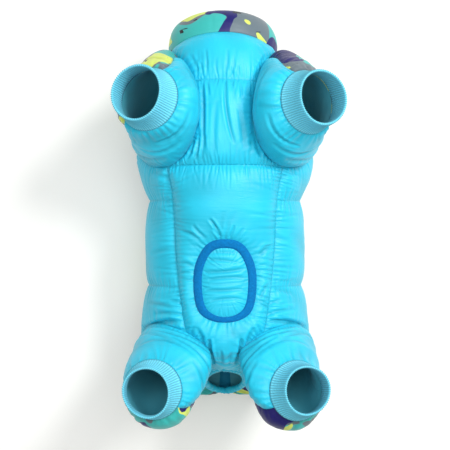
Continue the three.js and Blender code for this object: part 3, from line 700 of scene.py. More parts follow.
def smoothed_split(points, triangles):
    """Loop subdivision of a surface whose rim stays as it is."""
    finer, edges, of_triangle, uses = split_in_four(triangles, len(points))
    opposite = np.zeros((len(edges), 3))
    np.add.at(opposite, of_triangle[:, 0], points[triangles[:, 2]])
    np.add.at(opposite, of_triangle[:, 1], points[triangles[:, 0]])
    np.add.at(opposite, of_triangle[:, 2], points[triangles[:, 1]])
    ends = points[edges[:, 0]] + points[edges[:, 1]]
    middle = np.where((uses == 2)[:, None], ends * 3 / 8 + opposite / 8, ends / 2)
    total, valence = np.zeros_like(points), np.zeros(len(points))
    for here, there in ((0, 1), (1, 0)):
        np.add.at(total, edges[:, here], points[edges[:, there]])
        np.add.at(valence, edges[:, here], 1)
    beta = np.where(valence == 3, 3 / 16, 3 / (8 * np.maximum(valence, 1)))[:, None]
    moved = points * (1 - valence[:, None] * beta) + total * beta
    rim = np.zeros(len(points), bool)
    rim[edges[uses == 1].ravel()] = True
    moved[rim] = points[rim]
    return np.concatenate([moved, middle]), finer, edges


def point_normals(points, triangles):
    """Normals of a surface at its points."""
    facing = facings(points, triangles)
    total = np.zeros_like(points)
    for k in range(3):
        np.add.at(total, triangles[:, k], facing)
    return unit(total)


def rim_edges(triangles):
    """The edges on the rim, in the direction that their triangle goes."""
    directed = triangles[:, [0, 1, 1, 2, 2, 0]].reshape(-1, 2)
    _, of_triangle, uses = triangle_edges(triangles)
    return directed[uses[of_triangle.ravel()] == 1]


# How the cloth settles: frames, the scale at which it is reckoned, and how far a point may move in millimetres
SETTLE_FRAMES = 14
SETTLE_SCALE = 10.0
SETTLE_CAP = 4.5
# How far from its seams the cloth's spare length fades
GROWTH_REACH = 14.0
# What the cloth is set to
CLOTH_RULES = {
    "quality": 4, "mass": 0.2, "tension_stiffness": 20, "compression_stiffness": 20, "shear_stiffness": 8,
    "bending_stiffness": 0.04, "air_damping": 2.0, "vertex_group_mass": "sewn", "vertex_group_shrink": "spare",
    "use_pressure": True,
}


def settled(points, triangles, held, cut, growth, pressure):
    """Cloth that is a little larger than its seams allow, settled under the pressure of its filling."""
    scale = MM * SETTLE_SCALE
    mesh = bpy.data.meshes.new("settling_cloth")
    mesh.from_pydata((points * scale).tolist(), [], triangles.tolist())
    cloth = placed("settling_cloth", mesh)
    scene = bpy.context.scene
    cloth.shape_key_add(name="as_sewn")
    flat_cut = cloth.shape_key_add(name="as_cut")
    flat_cut.data.foreach_set("co", (cut * scale).ravel())
    sewn = cloth.vertex_groups.new(name="sewn")
    sewn.add(np.flatnonzero(held).tolist(), 1.0, "REPLACE")
    spare = cloth.vertex_groups.new(name="spare")
    for i, weight in enumerate(growth / max(growth.max(), 1e-6)):
        spare.add([i], float(weight), "REPLACE")
    modifier = cloth.modifiers.new("Cloth", "CLOTH")
    rules = modifier.settings
    for name, value in CLOTH_RULES.items():
        setattr(rules, name, value)
    rules.shrink_max = -float(growth.max())
    rules.rest_shape_key = flat_cut
    rules.uniform_pressure_force = pressure
    rules.effector_weights.gravity = 0
    modifier.collision_settings.use_collision = False
    modifier.point_cache.frame_start = 1
    modifier.point_cache.frame_end = SETTLE_FRAMES
    for step in range(1, SETTLE_FRAMES + 1):
        scene.frame_set(step)
    result = cloth.evaluated_get(bpy.context.evaluated_depsgraph_get()).data
    moved = np.empty(len(points) * 3)
    result.vertices.foreach_get("co", moved)
    scene.frame_set(1)
    bpy.data.objects.remove(cloth)
    bpy.data.meshes.remove(mesh)
    way = moved.reshape(-1, 3) / scale - points
    far = np.linalg.norm(way, axis=-1, keepdims=True)
    return points + way * np.minimum(1, SETTLE_CAP / np.maximum(far, 1e-9))


def mesh_object(name, points, faces, materials, face_materials=None, uv=None):
    """A piece from points in millimetres, smooth and in its place. The uv is the map of the cloth as cut."""
    mesh = bpy.data.meshes.new(name)
    mesh.from_pydata((points * MM).tolist(), [], [tuple(face) for face in faces])
    mesh.validate()
    for material in materials:
        mesh.materials.append(material)
    mesh.polygons.foreach_set("use_smooth", np.ones(len(mesh.polygons), bool))
    if face_materials is not None:
        mesh.polygons.foreach_set("material_index", np.asarray(face_materials, np.int32))
    if uv is not None:
        layer = mesh.uv_layers.new(name="Cut")
        corners = np.empty(len(mesh.loops), np.int32)
        mesh.loops.foreach_get("vertex_index", corners)
        layer.data.foreach_set("uv", (uv[corners] * MM).ravel())
    mesh.update()
    return placed(name, mesh)


def marks(piece, values_by_name):
    """Stores values at the points of a piece for its finish or its ribs."""
    for name, values in values_by_name.items():
        layer = piece.data.attributes.new(name, "FLOAT", "POINT")
        layer.data.foreach_set("value", np.asarray(values, np.float32).ravel())


def settle_together(parts):
    """Settles several panels at once and gives each its own points back."""
    starts = np.cumsum([0] + [len(part["points"]) for part in parts])
    gather = lambda key: np.concatenate([part[key] for part in parts])
    triangles = np.concatenate([part["triangles"] + start for part, start in zip(parts, starts)])
    points, held, cut, growth = (gather(key) for key in ("points", "held", "cut", "growth"))
    moved = settled(points, triangles, held, cut, growth, parts[0]["pressure"])
    for part, start, end in zip(parts, starts, starts[1:]):
        part["points"] = moved[start:end]


def padded_part(panel, height, growth, stretch, pressure, folds=(), quilts=(), slumps=(), crosswise=False):
    """A panel puffed out between its seams, ready to settle. The stretch gives the cloth as cut."""
    base, normals = panel.cloth.point(panel.places), panel.cloth.normal(panel.places)
    away = distance_from(panel.cloth, [run for run in panel.runs if run not in quilts], base)
    lift = height * (1 - np.exp(-away / PADDING_ROLL))
    if quilts:
        lift *= 1 - QUILT_SHARE * np.exp(-distance_from(panel.cloth, quilts, base) / PADDING_ROLL)
    for turn, turn_reach, t, t_reach, depth in slumps:
        apart = np.abs((panel.places[:, 0] - turn + 180) % 360 - 180) / turn_reach
        along = np.abs(panel.places[:, 1] - t) / t_reach
        lift -= depth * np.clip(1 - apart ** 2, 0, 1) * np.clip(1 - along ** 2, 0, 1)
    lift[panel.edge] = 0
    points = base + normals * lift[:, None]
    middle = points.mean(axis=0)
    return {
        "panel": panel, "base": base, "normals": normals, "triangles": panel.triangles, "held": panel.held,
        "points": points, "cut": middle + (points - middle) @ np.asarray(stretch), "folds": folds,
        "growth": np.full(len(points), growth) * (0.55 + 0.45 * np.exp(-away / GROWTH_REACH)),
        "pressure": pressure, "away": away, "seed": zlib.crc32(panel.name.encode()), "crosswise": crosswise,
    }


def stretched(way, amount):
    """A matrix that lengthens things along one direction."""
    way = unit(np.array(way, float))
    return np.eye(3) + amount * np.outer(way, way)


# How much darker the painted shade makes a sewn line than a full crease, and how wide it is, in millimetres
SEAM_PAINTED_SHADE = 0.9
SEAM_SHADE_WIDTH = 0.8
# The padding's lumps: how far apart, and how far from a seam they begin to show
LUMP_PITCH, LUMPS_FROM_SEAM = 34.0, 5.0
# How far the lining bulges inward, in millimetres, and the angle from which an edge looks sharp
LINING_BULGE = 1.2
SHARP_ANGLE = math.radians(62)


def finished_panel(part, materials, pucker_scale, lump_height, splits):
    """The closed piece of a settled panel: a fine outside with its creases, a lining and a rim between them."""
    panel = part["panel"]
    fine, finer, places, halves = part["points"], part["triangles"], panel.places, []
    for _ in range(splits):
        before = len(places)
        fine, finer, edges = smoothed_split(fine, finer)
        places = np.concatenate([places, (places[edges[:, 0]] + places[edges[:, 1]]) / 2])
        halves.append({tuple(edge): before + i for i, edge in enumerate(np.sort(edges, axis=1).tolist())})
    on_rim = np.zeros(len(fine), bool)
    on_rim[rim_edges(finer).ravel()] = True
    fine[on_rim] = panel.cloth.point(places[on_rim])
    base = panel.cloth.point(places)
    outward = point_normals(fine, finer)
    sunk = puckers(panel.cloth, panel.runs, base, pucker_scale)
    if isinstance(panel.cloth, SleeveCloth):
        sunk += wrapped_folds(panel.cloth, base, part["folds"])
    else:
        sunk += fold_depth(fine, outward, part["folds"])
    away = distance_from(panel.cloth, panel.runs, base)
    room = 1 - np.exp(-away / LUMPS_FROM_SEAM)
    sunk -= lumps(base, LUMP_PITCH, part["seed"]) * lump_height * room
    outer = fine - outward * np.where(on_rim, 0, sunk)[:, None]
    bulge = np.where(panel.edge, 0, LINING_BULGE * (1 - np.exp(-part["away"] / PADDING_ROLL)))
    lining = part["base"] - part["normals"] * (WALL + bulge)[:, None]
    first = len(outer)

    def chain(a, b, level=0):
        if level == splits:
            return [a, b]
        middle = halves[level][(min(a, b), max(a, b))]
        return chain(a, middle, level + 1)[:-1] + chain(middle, b, level + 1)

    walls = []
    for a, b in rim_edges(part["triangles"]).tolist():
        line = chain(a, b)
        half = len(line) // 2
        walls += [(line[i + 1], line[i], first + (a if i < half else b)) for i in range(len(line) - 1)]
        walls.append((line[half], first + a, first + b))
    faces = np.concatenate([finer, part["triangles"][:, ::-1] + first, np.array(walls)])
    kinds = np.concatenate([np.zeros(len(finer), int), np.ones(len(part["triangles"]), int),
                            np.zeros(len(walls), int)])
    uv = np.concatenate([panel.cloth.flat(places), panel.cloth.flat(panel.places)])
    uv = uv[:, ::-1] if part["crosswise"] else uv
    piece = mesh_object(panel.name, np.concatenate([outer, lining]), faces.tolist(), materials, kinds, uv)
    # Painted shade: the outside's colour is darkened where its creases sink and along its seams, and lightened
    # a little on raised lumps; the lining gets none
    depth = np.clip(sunk / CREASE_DEPTH, -0.3, 1) + SEAM_PAINTED_SHADE * np.exp(-(away / SEAM_SHADE_WIDTH) ** 2)
    marks(piece, {"crease": np.concatenate([depth, np.zeros(len(lining))])})
    piece.data.set_sharp_from_angle(angle=SHARP_ANGLE)
    return piece


def swept(name, loops, material, closed=True, attributes=None, mapped=True):
    """A body swept through loops of points, joined end to start or capped, with a map in plan if asked."""
    count, size = len(loops), len(loops[0])
    faces = []
    for j in range(count if closed else count - 1):
        k = (j + 1) % count
        for i in range(size):
            n = (i + 1) % size
            faces.append((j * size + i, j * size + n, k * size + n, k * size + i))
    if not closed:
        faces.append(tuple(range(size - 1, -1, -1)))
        faces.append(tuple((count - 1) * size + i for i in range(size)))
    points = np.concatenate(loops)
    outward = points[list(faces[0])].mean(axis=0) - loops[0].mean(axis=0)
    if facings(points, np.array(faces[:1]))[0] @ outward < 0:
        faces = [face[::-1] for face in faces]
    piece = mesh_object(name, points, faces, [material], uv=points[:, :2] if mapped else None)
    marks(piece, attributes or {})
    return piece


class Signal:
    """A node's output that takes part in sums and products."""

    def __init__(self, sheet, socket):
        self.sheet, self.socket = sheet, socket

    def _join(self, operation, first, second):
        return self.sheet.node("ShaderNodeMath", {"operation": operation}, {0: first, 1: second})

    def __add__(self, other):
        return self._join("ADD", self, other)

    def __radd__(self, other):
        return self._join("ADD", other, self)

    def __sub__(self, other):
        return self._join("SUBTRACT", self, other)

    def __rsub__(self, other):
        return self._join("SUBTRACT", other, self)

    def __mul__(self, other):
        return self._join("MULTIPLY", self, other)

    def __rmul__(self, other):
        return self._join("MULTIPLY", other, self)

    def __pow__(self, other):
        return self._join("POWER", self, other)

    def __rpow__(self, other):
        return self._join("POWER", other, self)


class NodeSheet:
    """A node tree whose nodes are made by one method."""

    tree = None

    def node(self, kind, settings, values, output=0):
        node = self.tree.nodes.new(kind)
        for key, value in settings.items():
            setattr(node, key, value)
        for key, value in values.items():
            if isinstance(value, Signal):
                self.tree.links.new(value.socket, node.inputs[key])
            else:
                node.inputs[key].default_value = value
        return Signal(self, node.outputs[output]) if node.outputs else None

    def output_of(self, signal, key):
        """Another output of the node that a signal comes from."""
        return Signal(self, signal.socket.node.outputs[key])


class Recipe(NodeSheet):
    """A geometry node tree with named inputs that ends in real geometry with its finish."""

    def __init__(self, name):
        self.tree = bpy.data.node_groups.new(name, "GeometryNodeTree")
        self.entry = self.node("NodeGroupInput", {}, {}).socket.node
        self.tree.interface.new_socket("Geometry", in_out="OUTPUT", socket_type="NodeSocketGeometry")

    def mark(self, name):
        return self.node("GeometryNodeInputNamedAttribute", {"data_type": "FLOAT"}, {"Name": name}, "Attribute")

    def input(self, name, kind, default=None):
        item = self.tree.interface.new_socket(name, in_out="INPUT", socket_type=kind)
        if default is not None:
            item.default_value = default
        return Signal(self, self.entry.outputs[name])

    def finished(self, geometry, finish):
        real = self.node("GeometryNodeRealizeInstances", {}, {"Geometry": geometry})
        dressed = self.node("GeometryNodeSetMaterial", {}, {"Geometry": real, "Material": finish})
        self.node("NodeGroupOutput", {}, {0: dressed})
        return self.tree


class Finish(NodeSheet):
    """A material with a Principled shader."""

    def __init__(self, name, **fixed):
        self.material = bpy.data.materials.new(name)
        self.material.use_nodes = True
        self.tree = self.material.node_tree
        self.shader = self.tree.nodes["Principled BSDF"]
        for socket, value in fixed.items():
            self.shader.inputs[socket.replace("_", " ")].default_value = value

    def place(self):
        return self.node("ShaderNodeTexCoord", {}, {}, "Object")

    def cut(self):
        return self.node("ShaderNodeUVMap", {"uv_map": "Cut"}, {})

    def mark(self, name):
        return self.node("ShaderNodeAttribute", {"attribute_name": name}, {}, "Fac")

    def parts(self, vector):
        first = self.node("ShaderNodeSeparateXYZ", {}, {0: vector})
        return [self.output_of(first, key) for key in "XYZ"]

    def noise(self, vector, pitch, detail=2.0, roughness=0.5, stretch=0.0):
        return self.node("ShaderNodeTexNoise", {"noise_dimensions": "3D"},
                         {"Vector": vector, "Scale": 1 / pitch, "Detail": detail, "Roughness": roughness,
                          "Distortion": stretch})

    def sine(self, value):
        return self.node("ShaderNodeMath", {"operation": "SINE"}, {0: value})

    def moved(self, vector, offset):
        return self.node("ShaderNodeVectorMath", {"operation": "ADD"}, {0: vector, 1: offset})

    def mixed(self, factor, first, second):
        return self.node("ShaderNodeMix", {"data_type": "RGBA"}, {0: factor, 6: first, 7: second}, 2)

    def brightened(self, colour, value):
        return self.node("ShaderNodeHueSaturation", {}, {"Color": colour, "Value": value})

    def step(self, value, low, high):
        return self.node("ShaderNodeMapRange", {"clamp": True}, {0: value, 1: low, 2: high, 3: 0.0, 4: 1.0})

    def _to_shader(self, signal, name):
        self.tree.links.new(signal.socket, self.shader.inputs[name])

    def colour(self, signal):
        self._to_shader(signal, "Base Color")

    def roughness(self, signal):
        self._to_shader(signal, "Roughness")

    def raised(self, height, strength, distance):
        bump = self.node("ShaderNodeBump", {}, {"Height": height, "Strength": strength, "Distance": distance})
        self._to_shader(bump, "Normal")


# Pitches of the weave and the crinkles in metres, and how long the crinkles are drawn
WEAVE_PITCH = 0.0007
CRINKLE_PITCH = 0.0026
CRINKLE_LENGTH = 0.2
# The depth of a full crease in millimetres, and how much darker its painted shade makes it
CREASE_DEPTH = 1.2
CREASE_PAINTED_SHADE = 0.2
# How much of a knitted colour is left in the painted shade of the grooves between its ribs
GROOVE_PAINTED_SHADE = 0.62
# The width over which one colour of the print gives way to the next
PRINT_EDGE = 0.004


def opaque(colour):
    """A colour with its alpha."""
    return tuple(colour) + (1.0,)


def weave(finish, u, v):
    """A plain weave over the cut of the cloth, from -1 to 1."""
    turns = 2 * math.pi / WEAVE_PITCH
    return finish.sine(u * turns) * finish.sine(v * turns)


def taffeta(name, colour_of, roughness=0.44):
    """A smooth woven shell with a soft gloss, fine crinkles that lie across the cloth, and painted shade in the
    creases and seams of the panels.
    """
    finish = Finish(name, Sheen_Weight=0.04, Sheen_Roughness=0.4, Specular_IOR_Level=0.38)
    place = finish.place()
    u, v, _ = finish.parts(finish.cut())
    clouding = finish.noise(place, 0.03, 3.0)
    # Painted shade: the colour is darker in creases and along seams, and a little lighter on raised lumps, from
    # the mark stored on each panel
    brightness = 0.95 + clouding * 0.1 - finish.mark("crease") * CREASE_PAINTED_SHADE
    finish.colour(finish.brightened(colour_of(finish, place), brightness))
    finish.roughness(roughness - 0.06 + finish.noise(place, 0.012, 2.0) * 0.12)
    across = finish.node("ShaderNodeCombineXYZ", {}, {0: u * CRINKLE_LENGTH, 1: v})
    patches = finish.step(finish.noise(place, 0.02, 1.0), 0.35, 0.7)
    crinkle = finish.noise(across, CRINKLE_PITCH, 2.5, 0.55, 0.7) * (patches * 0.75 + 0.25)
    finish.raised(crinkle + weave(finish, u, v) * 0.03, 0.5, 0.0009)
    return finish.material


def camouflage(colours):
    """A generic camouflage of four colours with small dark flecks."""

    def colour_of(finish, place):
        ground, teal, yellow, navy, dark = map(opaque, colours)
        # colour, pitch, level, offset and squeeze of each layer
        layers = (
            (teal, 0.036, 0.50, (0.31, 0.07, 0.52), (1.0, 1.1, 1.0)),
            (yellow, 0.031, 0.585, (1.79, 0.94, 0.2), (0.9, 1.2, 1.0)),
            (navy, 0.036, 0.575, (2.42, 3.87, 1.6), (1.0, 1.1, 0.9)),
            (dark, 0.013, 0.70, (4.6, 0.9, 2.2), (0.7, 2.2, 1.2)),
        )
        shade = ground
        for colour, pitch, level, offset, squeeze in layers:
            squeezed = finish.node("ShaderNodeVectorMath", {"operation": "MULTIPLY"}, {0: place, 1: squeeze})
            field = finish.noise(finish.moved(squeezed, offset), pitch, 1.0, 0.4, 0.4)
            shade = finish.mixed(finish.step(field, level, level + PRINT_EDGE), shade, colour)
        return shade

    return colour_of


def plain(colour):
    """One colour all over."""
    return lambda finish, place: finish.mixed(0.0, opaque(colour), opaque(colour))


def knitwear(name, colour, roughness=0.85, yarn_pitch=0.0012, mottle=0.24, relief=0.5):
    """A knitted yarn with small stitches and fuzz, and painted shade in the grooves between its ribs."""
    finish = Finish(name, Sheen_Weight=0.05, Sheen_Roughness=0.5, Specular_IOR_Level=0.12)
    place = finish.place()
    # Painted shade: the colour darkens from the rib tops into the grooves between them; a piece without ribs
    # takes the darker colour all over
    tone = finish.mixed(finish.mark("groove"), opaque(c * GROOVE_PAINTED_SHADE for c in colour), opaque(colour))
    yarn = finish.noise(place, yarn_pitch, 2.0, 0.6)
    finish.colour(finish.brightened(tone, 1 - mottle / 2 + yarn * mottle))
    finish.roughness(roughness - 0.05 + yarn * 0.1)
    finish.raised(finish.noise(place, yarn_pitch * 0.75, 2.0, 0.6), relief, 0.0004)
    return finish.material


def sewn_thread(name, colour):
    """A twisted sewing thread."""
    finish = Finish(name, Specular_IOR_Level=0.4)
    twist = finish.noise(finish.place(), 0.0004, 1.0)
    finish.colour(finish.brightened(plain(colour)(finish, None), 0.85 + twist * 0.3))
    finish.roughness(0.45 + twist * 0.2)
    return finish.material


# How round the ribs are: 1 is a plain wave, and less is fuller
RIB_FULLNESS = 0.6


def ribbed_recipe():
    """Geometry nodes that raise ribs round a knitted piece, from its turn attribute."""
    recipe = Recipe("knitted_ribs")
    knit = recipe.input("Knit", "NodeSocketGeometry")
    count = recipe.input("Rib Count", "NodeSocketFloat", 80.0)
    depth = recipe.input("Rib Depth", "NodeSocketFloat", 0.0006)
    finish = recipe.input("Finish", "NodeSocketMaterial")
    turns = recipe.mark("turn") * count * (2 * math.pi)
    rib = (recipe.node("ShaderNodeMath", {"operation": "COSINE"}, {0: turns}) * 0.5 + 0.5) ** RIB_FULLNESS
    normal = recipe.node("GeometryNodeInputNormal", {}, {})
    rise = (rib - 0.5) * depth * recipe.mark("ribbed")
    offset = recipe.node("ShaderNodeVectorMath", {"operation": "SCALE"}, {0: normal, "Scale": rise})
    raised = recipe.node("GeometryNodeSetPosition", {}, {"Geometry": knit, "Offset": offset})
    # The rib's height is stored as groove, which the knit's colour uses to paint shade between the ribs
    marked = recipe.node("GeometryNodeStoreNamedAttribute", {"data_type": "FLOAT", "domain": "POINT"},
                         {"Geometry": raised, "Name": "groove", "Value": rib})
    return recipe.finished(marked, finish)


def stitched_recipe():
    """Geometry nodes that set small beads, such as stitches or teeth, at even steps along a path."""
    recipe = Recipe("stitches_along_a_path")
    path = recipe.input("Path", "NodeSocketGeometry")
    pitch = recipe.input("Pitch", "NodeSocketFloat", 0.003)
    size = recipe.input("Bead Size", "NodeSocketVector")
    finish = recipe.input("Finish", "NodeSocketMaterial")
    curve = recipe.node("GeometryNodeMeshToCurve", {}, {"Mesh": path})
    points = recipe.node("GeometryNodeCurveToPoints", {"mode": "LENGTH"}, {"Curve": curve, "Length": pitch})
    turned = recipe.output_of(points, "Rotation")
    bead = recipe.node("GeometryNodeMeshUVSphere", {}, {"Segments": 8, "Rings": 6, "Radius": 0.5})
    beads = recipe.node("GeometryNodeInstanceOnPoints", {},
                        {"Points": points, "Instance": bead, "Rotation": turned, "Scale": size})
    return recipe.finished(beads, finish)


def made_by(recipe, piece, values):
    """The plain mesh that a recipe makes of a piece."""
    modifier = piece.modifiers.new(recipe.name, "NODES")
    modifier.node_group = recipe
    for item in recipe.interface.items_tree:
        if item.in_out == "INPUT" and item.name in values:
            modifier[item.identifier] = values[item.name]
    evaluated = piece.evaluated_get(bpy.context.evaluated_depsgraph_get())
    made = bpy.data.meshes.new_from_object(evaluated)
    piece.modifiers.remove(modifier)
    old = piece.data
    piece.data = made
    bpy.data.meshes.remove(old)
    piece.data.polygons.foreach_set("use_smooth", np.ones(len(piece.data.polygons), bool))
    return piece


def path_object(name, lines):
    """An object of plain edges along lines of points in millimetres."""
    points, edges, start = [], [], 0
    for line in lines:
        points.extend((line * MM).tolist())
        edges += [(start + i, start + i + 1) for i in range(len(line) - 1)]
        start += len(line)
    mesh = bpy.data.meshes.new(name)
    mesh.from_pydata(points, edges, [])
    return placed(name, mesh)


FINISHES = {}


def declared(piece, nodes):
    """Names a piece, and tells the frame what it rides on and replaces."""
    if nodes:
        piece.name = nodes[0] + "_cloth"
    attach(piece, "root")
    if nodes:
        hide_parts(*nodes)


# Height of the padding's lumps on the body, the sleeves and the panel in the opening, in millimetres
BODY_LUMPS, SLEEVE_LUMPS, OPENING_LUMPS = 0.7, 0.9, 0.5


def make_panels(parts, form, lump_height):
    """Settles panels and makes a piece of each. The printed ones show less, and are split once."""
    settle_together(parts)
    for part in parts:
        name = part["panel"].name
        slot = "print" if name.startswith("back") or name.endswith("outer") else "shell"
        splits = 1 if slot == "print" else 2
        piece = finished_panel(part, [FINISHES[slot], FINISHES["lining"]], form.puckers, lump_height, splits)
        declared(piece, [name])


# Long folds on the chest, belly, flanks and the panel in the opening, in plan: both ends, depth, width and bow
CHEST_FOLDS = (
    (-21.6, 137, -22, 61, 1.71, 1.5, 1.2),
    (-17.4, 136, -15.5, 122, 0.99, 1.2, 0.4),
    (0.1, 136, 8.9, 76, 1.62, 1.58, -2.8),
    (14.2, 136, 15.5, 120, 0.9, 1.2, 0.4),
    (12, 114, 18, 70, 0.72, 2.11, 1),
    (-8, 117, -10, 63, 0.72, 2.02, -1),
    (26, 128, 25, 74, 0.72, 1.94, 1.5),
    (-24, 92, -28, 61, 1.53, 1.41, 0.6),
    (-27, 87, -36, 62, 1.35, 1.32, 0.8),
    (-30, 83, -43, 63, 1.17, 1.41, 1),
    (-19, 86, -18, 61, 0.9, 1.32, -0.5),
    (28, 90, 34, 63, 0.9, 1.5, -0.8),
    (33, 82, 44, 61, 1.17, 1.41, -1),
    (-24, 156, -21, 140, 0.69, 1.08, 0.3),
    (-18.5, 168, -17.4, 141, 0.82, 1.16, 0.6),
    (-8, 160, -8, 141, 0.38, 1.08, -0.4),
    (2.4, 168, 2.2, 147, 0.63, 1.24, 0.3),
    (12.7, 152, 13.6, 141, 0.63, 1.06, -0.3),
    (31, 153, 29.4, 140, 0.63, 1.06, 0.4),
    (-34, 164, -25, 143, 0.63, 1.47, 1),
    (39, 164, 33, 145, 0.63, 1.47, -1),
)
BELLY_FOLDS = (
    (-15, 6, -4.4, -11, 1.7, 1.24, 1),
    (-11, -3, -5, -11, 1.1, 1.06, -0.4),
    (-42, -6, -24, -14, 1.02, 1.55, 1.2),
    (-31, 0, -18, -13, 0.85, 1.39, -0.8),
    (9, 0, 4.2, -11.5, 1.02, 1.16, 0.4),
    (18, -3, 11, -13, 0.68, 1.24, -0.5),
    (-42, -36, -30, -40, 1, 1.94, 1),
    (44, -20, 32, -30, 1.12, 2.11, -1),
    (42, -56, 33, -70, 1.12, 1.76, -1),
    (-15.5, -108, -10.5, -134, 3.2, 1.6, -1),
    (16, -108, 10.5, -134, 3, 1.6, 1),
    (-27, -97, -18, -122, 1.2, 1.8, 1.2),
    (28, -97, 19, -122, 1.2, 1.8, -1.2),
    (-4, -119, -3, -134, 1.1, 1.3, 0.4),
    (6, -121, 4, -134, 1, 1.3, -0.4),
)
FLANK_FOLDS = (
    (-69, -86, -36, -87, 1.2, 1.7, 2.0),
    (-82, -104, -42, -92, 2.2, 2.2, 3.0),
    (-54, -72, -39, -76, 1.0, 1.5, 0.6),
    (-76, -76, -50, -80, 0.9, 1.8, 1.0),
    (-72, -28, -48, -22, 0.7, 2.0, 1.0),
    (-70, 52, -50, 44, 0.8, 2.2, -1.0),
    (38, -86, 68, -82, 1.2, 1.7, 2.0),
    (42, -92, 80, -102, 2.2, 2.2, 3.0),
    (40, -76, 54, -72, 1.0, 1.5, 0.6),
    (48, -62, 66, -66, 0.8, 1.8, 1.0),
    (50, 44, 70, 50, 0.8, 2.2, 1.0),
    (46, -10, 62, -14, 0.7, 2.0, -1.0),
)
OPENING_FOLDS = (
    (-19, -33, 14, -36, 0.9, 1.5, 1.0),
    (-20, -44, 19, -41, 1.5, 1.9, -2.0),
    (-16, -52, 18, -50, 1.2, 1.8, 1.5),
    (-19, -62, 17, -60, 1.1, 1.7, -1.0),
    (-14, -72, 17, -70, 1.0, 1.6, 1.0),
    (-12, -26, 12, -27, 0.8, 1.5, 0.5),
)


# Folds that follow the sleeves: both ends as turn and share, bow, depth and width
SLEEVE_FOLDS = {
    "front": (
        (196, 0.80, 262, 0.74, -0.05, 1.1, 1.6), (220, 0.54, 286, 0.62, -0.07, 1.0, 1.8),
        (238, 0.34, 300, 0.20, 0.05, 1.0, 2.0),
        (140, 0.55, 190, 0.40, 0.05, 0.8, 2.4), (285, 0.46, 338, 0.36, -0.04, 0.9, 2.0),
        (60, 0.6, 120, 0.7, 0.05, 0.7, 2.0), (10, 0.3, 70, 0.46, -0.06, 0.9, 2.4),
    ),
    "hind": (
        (30, 0.07, 142, 0.09, 0.05, 1.4, 2.0), (58, 0.20, 196, 0.13, 0.10, 1.1, 1.8),
        (20, 0.32, 118, 0.44, -0.08, 1.2, 2.2), (112, 0.34, 232, 0.30, 0.12, 1.1, 1.7),
        (66, 0.60, 150, 0.56, -0.10, 0.8, 2.2), (150, 0.66, 236, 0.50, 0.07, 0.9, 1.7),
        (-60, 0.4, 20, 0.44, 0.08, 0.9, 2.4), (-120, 0.5, -40, 0.46, -0.08, 0.9, 2.4),
    ),
}
# Where a sleeve hangs slack or stands proud: turn and its reach, share and its reach, depth
SLEEVE_SLUMPS = {
    "front": ((300, 62, 0.22, 0.42, 5.0), (328, 55, 0.82, 0.4, -3.0)),
    "hind": ((75, 100, 0.22, 0.4, 5.5),),
}


def number_property(name, description, default, low, high, **kind):
    """A number that the panel shows."""
    return bpy.props.FloatProperty(name=name, description=description, default=default,
                                   min=low, max=high, **kind)


def length_property(name, description, default, low, high):
    """A length in metres that the panel shows."""
    return number_property(name, description, default, low, high, subtype="DISTANCE", unit="LENGTH")


def share_property(name, description, default, high):
    """A share from nothing upward that the panel shows."""
    return number_property(name, description, default, 0.0, high, subtype="FACTOR")


class JumpsuitForm(bpy.types.PropertyGroup):
    """Sizes of the padding and its sewing."""

    padding: length_property("Padding", "How far the padding puffs out between seams", 0.0065, 0.001, 0.02)
    sleeve_padding: length_property("Sleeve Padding", "How far the sleeves puff out", 0.006, 0.001, 0.02)
    spare_cloth: share_property("Spare Cloth", "How much larger the cloth is than its seams", 0.06, 0.2)
    filling: number_property("Filling Pressure", "How hard the filling pushes outward", 1.2, 0.0, 20.0)
    puckers: share_property("Puckers", "Depth of the short creases at the seams", 1.0, 3.0)
    cloth_step: length_property("Cloth Step", "Spacing of the cloth's points", 0.003, 0.0015, 0.01)
    rib_depth: length_property("Rib Depth", "Depth of the ribs of the knitted cuffs", 0.0009, 0.0, 0.003)
    rib_pitch: length_property("Rib Pitch", "Distance from rib to rib", 0.0023, 0.001, 0.01)
    stitch_pitch: length_property("Stitch Pitch", "Distance from stitch to stitch", 0.0032, 0.001, 0.01)


def colour_property(name, description, default):
    """A colour that the panel shows as a swatch."""
    return bpy.props.FloatVectorProperty(name=name, description=description, default=default, size=3, min=0.0,
                                         max=1.0, subtype="COLOR")


class JumpsuitColours(bpy.types.PropertyGroup):
    """Colours of the cloth, knit and print."""

    shell: colour_property("Shell", "Plain turquoise taffeta", (0.016, 0.53, 0.73))
    lining: colour_property("Lining", "Inside of the suit", (0.08, 0.42, 0.52))
    knit: colour_property("Cuffs", "Ribbed knit of the cuffs", (0.19, 0.74, 0.93))
    binding: colour_property("Binding", "Knitted binding of the opening", (0.0, 0.26, 0.7))
    ground: colour_property("Print Grey", "Ground of the print", (0.125, 0.168, 0.195))
    teal: colour_property("Print Teal", "Teal of the print", (0.04, 0.45, 0.42))
    yellow: colour_property("Print Yellow", "Yellow of the print", (0.64, 0.76, 0.14))
    navy: colour_property("Print Navy", "Navy of the print", (0.008, 0.006, 0.125))
    dark: colour_property("Print Dark", "Small dark bits of the print", (0.008, 0.01, 0.016))
    zip_tape: colour_property("Zip", "Zip tape and teeth", (0.01, 0.3, 0.5))


class JumpsuitStage(bpy.types.PropertyGroup):
    """Floor, light and camera."""

    floor: colour_property("Floor", "Pale floor", (0.82, 0.815, 0.79))
    floor_glow: share_property("Floor Glow", "How far the floor is overexposed", 0.2, 1.0)
    camera_height: length_property("Camera Height", "Camera above the torso's middle", 1.25, 0.5, 5.0)
    view_width: length_property("View Width", "Width that the camera sees at the torso", 0.45, 0.2, 2.0)
    key_power: number_property("Key Light", "Power of the main soft light", 20.0, 0.0, 200.0, unit="POWER")
    top_power: number_property("Top Light", "Power of the large light overhead", 18.0, 0.0, 200.0, unit="POWER")
    sky: share_property("Sky", "Strength of the light from all round", 0.36, 5.0)


class JumpsuitPiece:
    """What the operators share."""

    bl_options = {"REGISTER"}

    @staticmethod
    def form(context):
        return context.scene.jumpsuit_form


